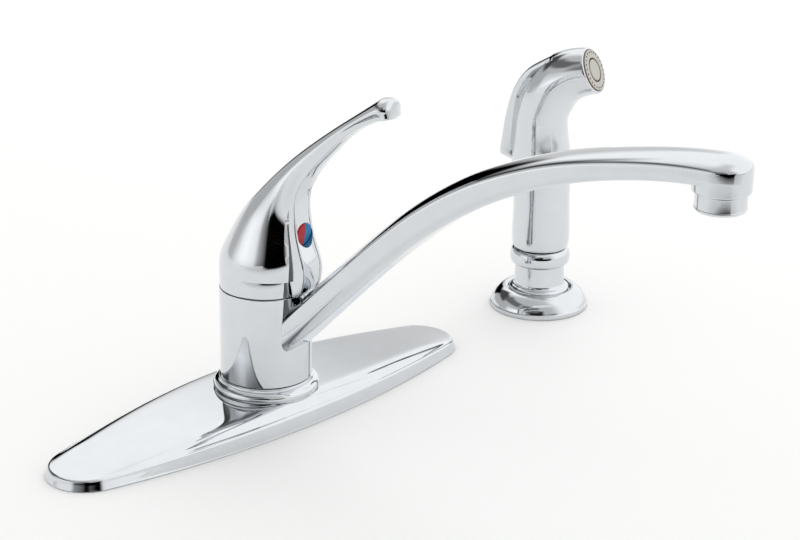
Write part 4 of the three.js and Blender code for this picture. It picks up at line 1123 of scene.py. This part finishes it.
def coil_tree():
    """Helical spring: a spiral with round wire swept along it."""
    tree, source = node_group("coil spring", {"Turns": (FLOAT, 4.0), "Coil radius": (FLOAT, 0.0029),
                              "Length": (FLOAT, 0.0088), "Wire radius": (FLOAT, 0.0003)})
    spiral = add_node(tree, "GeometryNodeCurveSpiral", {"Resolution": 40, "Rotations": source["Turns"],
                      "Start Radius": source["Coil radius"], "End Radius": source["Coil radius"],
                      "Height": source["Length"]})
    section = add_node(tree, "GeometryNodeCurvePrimitiveCircle", {"Resolution": 10,
                       "Radius": source["Wire radius"]})
    wire = add_node(tree, "GeometryNodeCurveToMesh", {"Curve": spiral.outputs[0],
                    "Profile Curve": section.outputs[0], "Fill Caps": True})
    close_group(tree, source, wire.outputs[0])
    return tree


SCREEN_RADIUS, SCREEN_WIRES, SCREEN_WIRE = 8.4, 25, 0.13
SCREEN_Z = 163.8
SPRING_BACK, SPRING_FRONT = -15.5, -7.3       # forward distances of its two ends
SPRING_TURNS, SPRING_RADIUS, SPRING_WIRE = 4.0, 2.9, 0.3


def empty_piece(name):
    return placed(name, bpy.data.meshes.new(name))


# ---- operators --------------------------------------------------------------------------------------
class FAUCET_OT_plate(bpy.types.Operator):
    """Deck plate and the moulded ring between it and the hub"""
    bl_idname = "faucet.plate"
    bl_label = "Deck plate"

    def execute(self, context):
        plate = make("plate", plate_shape(), sharp=TURNED_SHARP)
        finish(plate, "mixer_base", "polished_chrome", "deck_plate")
        ring = make("ring", base_ring_shape(), sharp=TURNED_SHARP)
        finish(ring, "mixer_base", "polished_chrome", "base_ring")
        return {"FINISHED"}


class FAUCET_OT_spout(bpy.types.Operator):
    """Spout: hub, arched arm and nose in one casting"""
    bl_idname = "faucet.spout"
    bl_label = "Spout"

    def execute(self, context):
        finish(spout_object(), "swing_spout", "polished_chrome", "spout")
        return {"FINISHED"}


class FAUCET_OT_aerator(bpy.types.Operator):
    """Aerator shell and its wire screen"""
    bl_idname = "faucet.aerator"
    bl_label = "Aerator"

    def execute(self, context):
        look = finishes()
        shell = make("aerator_rim", at_tip(aerator_shell_shape()), mixer_place(), TURNED_SHARP)
        finish(shell, "swing_spout", "polished_chrome", "aerator_shell")
        screen = grown(empty_piece("screen"), wire_screen_tree(), {"Radius": SCREEN_RADIUS * MM,
                       "Wires": SCREEN_WIRES, "Wire radius": SCREEN_WIRE * MM}, look["stainless_steel"])
        tip = at(context.scene.faucet_sizes.reach / MM, SCREEN_Z) * MM
        screen.data.transform(mixer_place() @ Matrix.Translation(tip))
        finish(screen, "swing_spout", "stainless_steel", "aerator_screen")
        return {"FINISHED"}


class FAUCET_OT_lever(bpy.types.Operator):
    """Trim cap, lever casting and its hot and cold button"""
    bl_idname = "faucet.lever"
    bl_label = "Lever"

    def execute(self, context):
        cap = make("cap", trim_cap_shape(), mixer_place(), TURNED_SHARP)
        finish(cap, "mixer_base", "polished_chrome", "trim_cap")
        finish(lever_object(), "lever", "polished_chrome", "handle")
        button = make("button", button_shape(), mixer_place(), TURNED_SHARP)
        finish(button, "lever", "index_button", "index_button")
        return {"FINISHED"}


class FAUCET_OT_holder(bpy.types.Operator):
    """Flange and guide that hold the hand spray on the deck"""
    bl_idname = "faucet.holder"
    bl_label = "Spray holder"

    def execute(self, context):
        flange = make("flange", flange_shape(), spray_place(), TURNED_SHARP)
        finish(flange, "mixer_base", "polished_chrome", "spray_flange")
        guide = make("guide", guide_shape(), spray_place(), TURNED_SHARP)
        finish(guide, "mixer_base", "polished_chrome", "spray_guide")
        return {"FINISHED"}


class FAUCET_OT_spray(bpy.types.Operator):
    """Hand spray: body, trigger, perforated face and the valve's spring"""
    bl_idname = "faucet.spray"
    bl_label = "Hand spray"

    def execute(self, context):
        look = finishes()
        finish(spray_body_object(), "hand_spray", "polished_chrome", "spray_body")
        finish(trigger_object(), "trigger", "polished_chrome", "spray_trigger")
        disc = make("spray_face", face_disc_shape(), sharp=TURNED_SHARP)
        grown(disc, spray_holes_tree(), {"Holes": HOLES, "Ring radius": HOLE_RING * MM,
              "Hole radius": HOLE_RADIUS * MM, "Depth": HOLE_DEPTH * MM},
              look["spray_face_plastic"], TURNED_SHARP)
        stand = spray_place() @ Matrix.Scale(MM, 4) @ face_matrix(0) @ Matrix.Scale(1 / MM, 4)
        disc.data.transform(stand)
        finish(disc, "hand_spray", "spray_face_plastic", "nozzle_ring")
        insert = make("face_insert", insert_shape(), sharp=TURNED_SHARP)
        insert.data.transform(stand)
        finish(insert, "hand_spray", "spray_face_plastic", "nozzle_insert")
        self.spring(look["stainless_steel"])
        return {"FINISHED"}

    def spring(self, steel):
        """Coil between trigger and valve guide, its axis level and pointing forward."""
        start, end = at(SPRING_BACK, VALVE_Z), at(SPRING_FRONT, VALVE_Z)
        coil = grown(empty_piece("spring"), coil_tree(), {"Turns": SPRING_TURNS,
                     "Coil radius": SPRING_RADIUS * MM, "Length": (end - start).length * MM,
                     "Wire radius": SPRING_WIRE * MM}, steel)
        aim = (end - start).to_track_quat("Z", "Y").to_matrix().to_4x4()
        coil.data.transform(spray_place() @ Matrix.Translation(start * MM) @ aim)
        finish(coil, "hand_spray", "stainless_steel", "plunger_spring")


class FAUCET_OT_inner(bpy.types.Operator):
    """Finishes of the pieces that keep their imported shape"""
    bl_idname = "faucet.inner"
    bl_label = "Inner pieces"

    def execute(self, context):
        look = finishes()
        for part in frame["record"]["subparts"]:
            node = frame["nodes"][part["node"]]
            for slot in node.material_slots:
                slot.material = look[part["material_slot"]]
        return {"FINISHED"}


# ---- studio -----------------------------------------------------------------------------------------
VIEW_TURN, VIEW_DOWN, VIEW_ROLL = -45.874, 20.7, 0.662    # degrees
VIEW_FROM = (-0.708527, -0.777751, 0.470063)              # metres
FOCAL_PIXELS = 2327.324
SENSOR = 36.0


def camera():
    """Pinhole camera that stands where the picture was taken from."""
    a, e, roll = (math.radians(v) for v in (VIEW_TURN, VIEW_DOWN, VIEW_ROLL))
    back = Vector((math.sin(a) * math.cos(e), -math.cos(a) * math.cos(e), math.sin(e)))
    right = Vector((math.cos(a), math.sin(a), 0))
    up = back.cross(right)
    side = right * math.cos(roll) + up * math.sin(roll)
    top = up * math.cos(roll) - right * math.sin(roll)
    lens = bpy.data.cameras.new("view")
    lens.sensor_width = SENSOR
    lens.lens = FOCAL_PIXELS * SENSOR / PHOTO_WIDTH
    matrix = Matrix((side, top, back)).transposed().to_4x4()
    matrix.translation = VIEW_FROM
    eye = placed("view", lens)
    eye.matrix_world = matrix
    bpy.context.scene.camera = eye


# what polished metal sees of the tent, as soft patches of one brightness painted over each other:
# azimuth and elevation in degrees, their half widths, the widths of their soft borders, how many
# degrees of azimuth a patch leans for each of elevation, and its brightness
TENT = {
    "soft boxes at the right": (0, 35, 70, 28, 35, 22, 0, 1.20),
    "reflector at the left": (155, 8, 22, 4, 18, 12, 0, 0.88),
    "grey wall behind": (110, 14, 24, 8, 12, 8, 0, 0.55),
    "grey wall behind at the right": (52, 10, 10, 6, 12, 14, 0, 0.74),
    "dark overhead": (95, 33, 16, 7, 13, 9, 0, 0.08),
    "dark overhead at the left": (138, 42, 22, 6, 16, 9, 0, 0.17),
    "black flag behind": (66, 7, 10, 13, 7, 8, 0.5, 0.0),
    "dark behind the camera": (-148, 12, 16, 13, 12, 8, 0, 0.02),
    "grey above that dark": (-162, 34, 18, 10, 14, 10, 0, 0.20),
    "dark beyond the table": (-127, 1, 26, 8, 12, 6, 0, 0.0),
}
TENT_LEFT, TENT_RIGHT = 0.62, 0.92                # brightness of the rest of the tent,
TENT_FROM, TENT_TO = -0.3, 0.35                   # and over which stretch of x it changes
SOFT_LIGHT, BACKDROP = 0.95, 1.0                  # brightness for all but metal, and for the camera
# cards: where they stand in metres, their brightness and the width of their soft borders
SHADE_AXIS = (-0.72, -0.69, 0.0)                  # towards the camera the table grows darker
SHADE_FROM, SHADE_TO, SHADE_HALF = 0.3, 6, 3
TABLE_EDGE = ((-0.60, -0.30), (-0.03, -0.60))     # where the table ends in front of the faucet
TABLE_FAR = ((-13.0, -6.6), (-2.0, -14.5))        # and how far the dark beyond that edge goes on
FILL_CARD = ((0.200, -0.110), (0.094, -0.038))    # small card that keeps the hand spray's neck pale
FILL_LOW, FILL_HIGH = 0.08, 0.14
REFLECTOR = ((-0.44, -0.30), (-0.44, 0.62))       # at the left, for the plate's end and the hub
REFLECTOR_LOW, REFLECTOR_HIGH = 0.005, 0.25
FLOOR_HALF = 6.0
LAMP_AT, LAMP_AIM = (1.5, 0.45, 1.5), (0.05, -0.05, 0.08)
LAMP_SIZE, LAMP_RADIANCE = 1.9, 0.9


def patch(tree, turn, rise, below, shape):
    """Lays one soft patch of the tent over the brightness below it."""
    centre, level, half_turn, half_rise, soft_turn, soft_rise, lean, brightness = shape
    middle = add_node(tree, "ShaderNodeMath", {0: rise, 1: lean, 2: centre - lean * level},
                      operation="MULTIPLY_ADD").outputs[0]
    apart = add_node(tree, "ShaderNodeMath", {0: turn, 1: middle}, operation="SUBTRACT").outputs[0]
    wrapped = add_node(tree, "ShaderNodeMath", {0: apart, 1: -180.0, 2: 180.0},
                       operation="WRAP").outputs[0]
    height = add_node(tree, "ShaderNodeMath", {0: rise, 1: level}, operation="SUBTRACT").outputs[0]
    cover = 1.0
    for away, half, soft in ((wrapped, half_turn, soft_turn), (height, half_rise, soft_rise)):
        size = add_node(tree, "ShaderNodeMath", {0: away}, operation="ABSOLUTE").outputs[0]
        inside = add_node(tree, "ShaderNodeMapRange", {"Value": size, "From Min": half,
                          "From Max": half + soft, "To Min": 1.0, "To Max": 0.0},
                          interpolation_type="SMOOTHSTEP").outputs["Result"]
        cover = add_node(tree, "ShaderNodeMath", {0: inside, 1: cover}, operation="MULTIPLY").outputs[0]
    return add_node(tree, "ShaderNodeMix", {0: cover, 2: below, 3: brightness}).outputs[0]


def studio():
    """White tent, with the soft boxes and black flags round it that only polished metal shows."""
    world = bpy.data.worlds.new("studio")
    world.use_nodes = True
    tree = world.node_tree
    tree.nodes.clear()
    aim = add_node(tree, "ShaderNodeTexCoord").outputs["Generated"]
    axes = add_node(tree, "ShaderNodeSeparateXYZ", {"Vector": aim}).outputs
    turn = add_node(tree, "ShaderNodeMath", {0: axes["Y"], 1: axes["X"]}, operation="ARCTAN2").outputs[0]
    rise = add_node(tree, "ShaderNodeMath", {0: axes["Z"]}, operation="ARCSINE").outputs[0]
    turn, rise = (add_node(tree, "ShaderNodeMath", {0: v}, operation="DEGREES").outputs[0]
                  for v in (turn, rise))
    seen = add_node(tree, "ShaderNodeMapRange", {"Value": axes["X"], "From Min": TENT_FROM,
                    "From Max": TENT_TO, "To Min": TENT_LEFT, "To Max": TENT_RIGHT}).outputs["Result"]
    for shape in TENT.values():
        seen = patch(tree, turn, rise, seen, shape)
    rays = add_node(tree, "ShaderNodeLightPath").outputs
    white = (1, 1, 1, 1)
    tent = add_node(tree, "ShaderNodeBackground", {"Color": white, "Strength": seen})
    plain = add_node(tree, "ShaderNodeBackground", {"Color": white, "Strength": SOFT_LIGHT})
    backdrop = add_node(tree, "ShaderNodeBackground", {"Color": white, "Strength": BACKDROP})
    mirror = add_node(tree, "ShaderNodeMixShader", {0: rays["Is Glossy Ray"], 1: plain.outputs[0],
                      2: tent.outputs[0]})
    whole = add_node(tree, "ShaderNodeMixShader", {0: rays["Is Camera Ray"], 1: mirror.outputs[0],
                     2: backdrop.outputs[0]})
    add_node(tree, "ShaderNodeOutputWorld", {"Surface": whole.outputs[0]})
    bpy.context.scene.world = world


def card(name, corners, brightness, soft):
    """Flat card of one brightness that only reflections see, with soft borders as wide as soft."""
    material, tree = shader(name)
    where = add_node(tree, "ShaderNodeUVMap", uv_map="card").outputs["UV"]
    axes = add_node(tree, "ShaderNodeSeparateXYZ", {"Vector": where}).outputs
    cover = 1.0
    for axis in ("X", "Y"):
        size = add_node(tree, "ShaderNodeMath", {0: axes[axis], 1: 0.5}, operation="SUBTRACT").outputs[0]
        away = add_node(tree, "ShaderNodeMath", {0: size}, operation="ABSOLUTE").outputs[0]
        inside = add_node(tree, "ShaderNodeMapRange", {"Value": away, "From Min": 0.5 - soft,
                          "From Max": 0.5, "To Min": 1.0, "To Max": 0.0}).outputs["Result"]
        cover = add_node(tree, "ShaderNodeMath", {0: inside, 1: cover}, operation="MULTIPLY").outputs[0]
    glow = add_node(tree, "ShaderNodeEmission", {"Strength": brightness})
    clear = add_node(tree, "ShaderNodeBsdfTransparent")
    mixed = add_node(tree, "ShaderNodeMixShader", {0: cover, 1: clear.outputs[0], 2: glow.outputs[0]})
    add_node(tree, "ShaderNodeOutputMaterial", {"Surface": mixed.outputs[0]})
    mesh = bpy.data.meshes.new(name)
    mesh.from_pydata(corners, [], [(0, 1, 2, 3)])
    mesh.materials.append(material)
    for loop, place in zip(mesh.uv_layers.new(name="card").data, ((0, 0), (1, 0), (1, 1), (0, 1))):
        loop.uv = place
    obj = placed(name, mesh)
    obj.visible_camera = obj.visible_diffuse = obj.visible_shadow = False


def upright(ends, low, high):
    """Corners of a card that stands on edge between two places on the floor."""
    (ax, ay), (bx, by) = ends
    return [(ax, ay, low), (bx, by, low), (bx, by, high), (ax, ay, high)]


def cards():
    """Shade on the table, dark beyond its edge, a small card by the spray, a reflector at the left."""
    toward = Vector(SHADE_AXIS)
    across = Vector((-toward.y, toward.x, 0))
    near, far, side = toward * SHADE_FROM, toward * SHADE_TO, across * SHADE_HALF
    corners = [near - side, near + side, far + side, far - side]
    card("table_shade", [(p.x, p.y, FLOOR_Z + 0.0003) for p in corners], 0.64, 0.06)
    end = [(x, y, FLOOR_Z + 0.0006) for x, y in (*TABLE_EDGE, *reversed(TABLE_FAR))]
    card("table_end", end, 0.0, 0.02)
    card("fill", upright(FILL_CARD, FILL_LOW, FILL_HIGH), 0.97, 0.2)
    card("reflector", upright(REFLECTOR, REFLECTOR_LOW, REFLECTOR_HIGH), 1.35, 0.5)


def floor():
    """Pale floor that keeps the soft shadow of the faucet."""
    material, tree = shader("studio_floor")
    code = bpy.context.scene.faucet_finish.floor
    surface(tree, Base_Color=linear(code), Roughness=0.9, Specular_IOR_Level=0.0)
    mesh = bpy.data.meshes.new("floor")
    side = FLOOR_HALF
    corners = [(-side, -side), (side, -side), (side, side), (-side, side)]
    mesh.from_pydata([(x, y, FLOOR_Z) for x, y in corners], [], [(0, 1, 2, 3)])
    mesh.materials.append(material)
    plane = placed("floor", mesh)


def lamp(name, place, aim, size, radiance):
    """Square soft box; radiance 1 is as bright as white paper in the tent."""
    light = bpy.data.lights.new(name, "AREA")
    light.size = size
    light.energy = radiance * math.pi * size ** 2
    obj = placed(name, light)
    obj.location = place
    obj.rotation_euler = (Vector(place) - Vector(aim)).to_track_quat("Z", "Y").to_euler()
    obj.visible_glossy = False


class FAUCET_OT_stage(bpy.types.Operator):
    """Camera, floor, tent, cards and soft lamp"""
    bl_idname = "faucet.stage"
    bl_label = "Stage"

    def execute(self, context):
        camera()
        floor()
        studio()
        cards()
        lamp("soft_box", LAMP_AT, LAMP_AIM, LAMP_SIZE, LAMP_RADIANCE)
        context.scene.view_settings.view_transform = "Standard"
        return {"FINISHED"}


class FAUCET_PT_sidebar(bpy.types.Panel):
    """Buttons that build the faucet piece by piece"""
    bl_idname = "FAUCET_PT_sidebar"
    bl_label = "Faucet"
    bl_space_type = "VIEW_3D"
    bl_region_type = "UI"
    bl_category = "Faucet"

    def draw(self, context):
        for operator in OPERATORS:
            self.layout.operator(operator.bl_idname)
        for group in (context.scene.faucet_sizes, context.scene.faucet_finish):
            for name in type(group).__annotations__:
                self.layout.prop(group, name)


OPERATORS = (FAUCET_OT_stage, FAUCET_OT_inner, FAUCET_OT_plate, FAUCET_OT_spout, FAUCET_OT_aerator,
             FAUCET_OT_lever, FAUCET_OT_holder, FAUCET_OT_spray)
CLASSES = (FaucetSizes, FaucetFinish, *OPERATORS, FAUCET_PT_sidebar)


def register():
    for cls in CLASSES:
        bpy.utils.register_class(cls)
    bpy.types.Scene.faucet_sizes = bpy.props.PointerProperty(type=FaucetSizes)
    bpy.types.Scene.faucet_finish = bpy.props.PointerProperty(type=FaucetFinish)


def unregister():
    del bpy.types.Scene.faucet_finish
    del bpy.types.Scene.faucet_sizes
    for cls in reversed(CLASSES):
        bpy.utils.unregister_class(cls)


def main():
    register()
    bpy.ops.faucet.stage()
    bpy.ops.faucet.inner()
    bpy.ops.faucet.plate()
    bpy.ops.faucet.spout()
    bpy.ops.faucet.aerator()
    bpy.ops.faucet.lever()
    bpy.ops.faucet.holder()
    bpy.ops.faucet.spray()


if __name__ == "__main__":
    main()
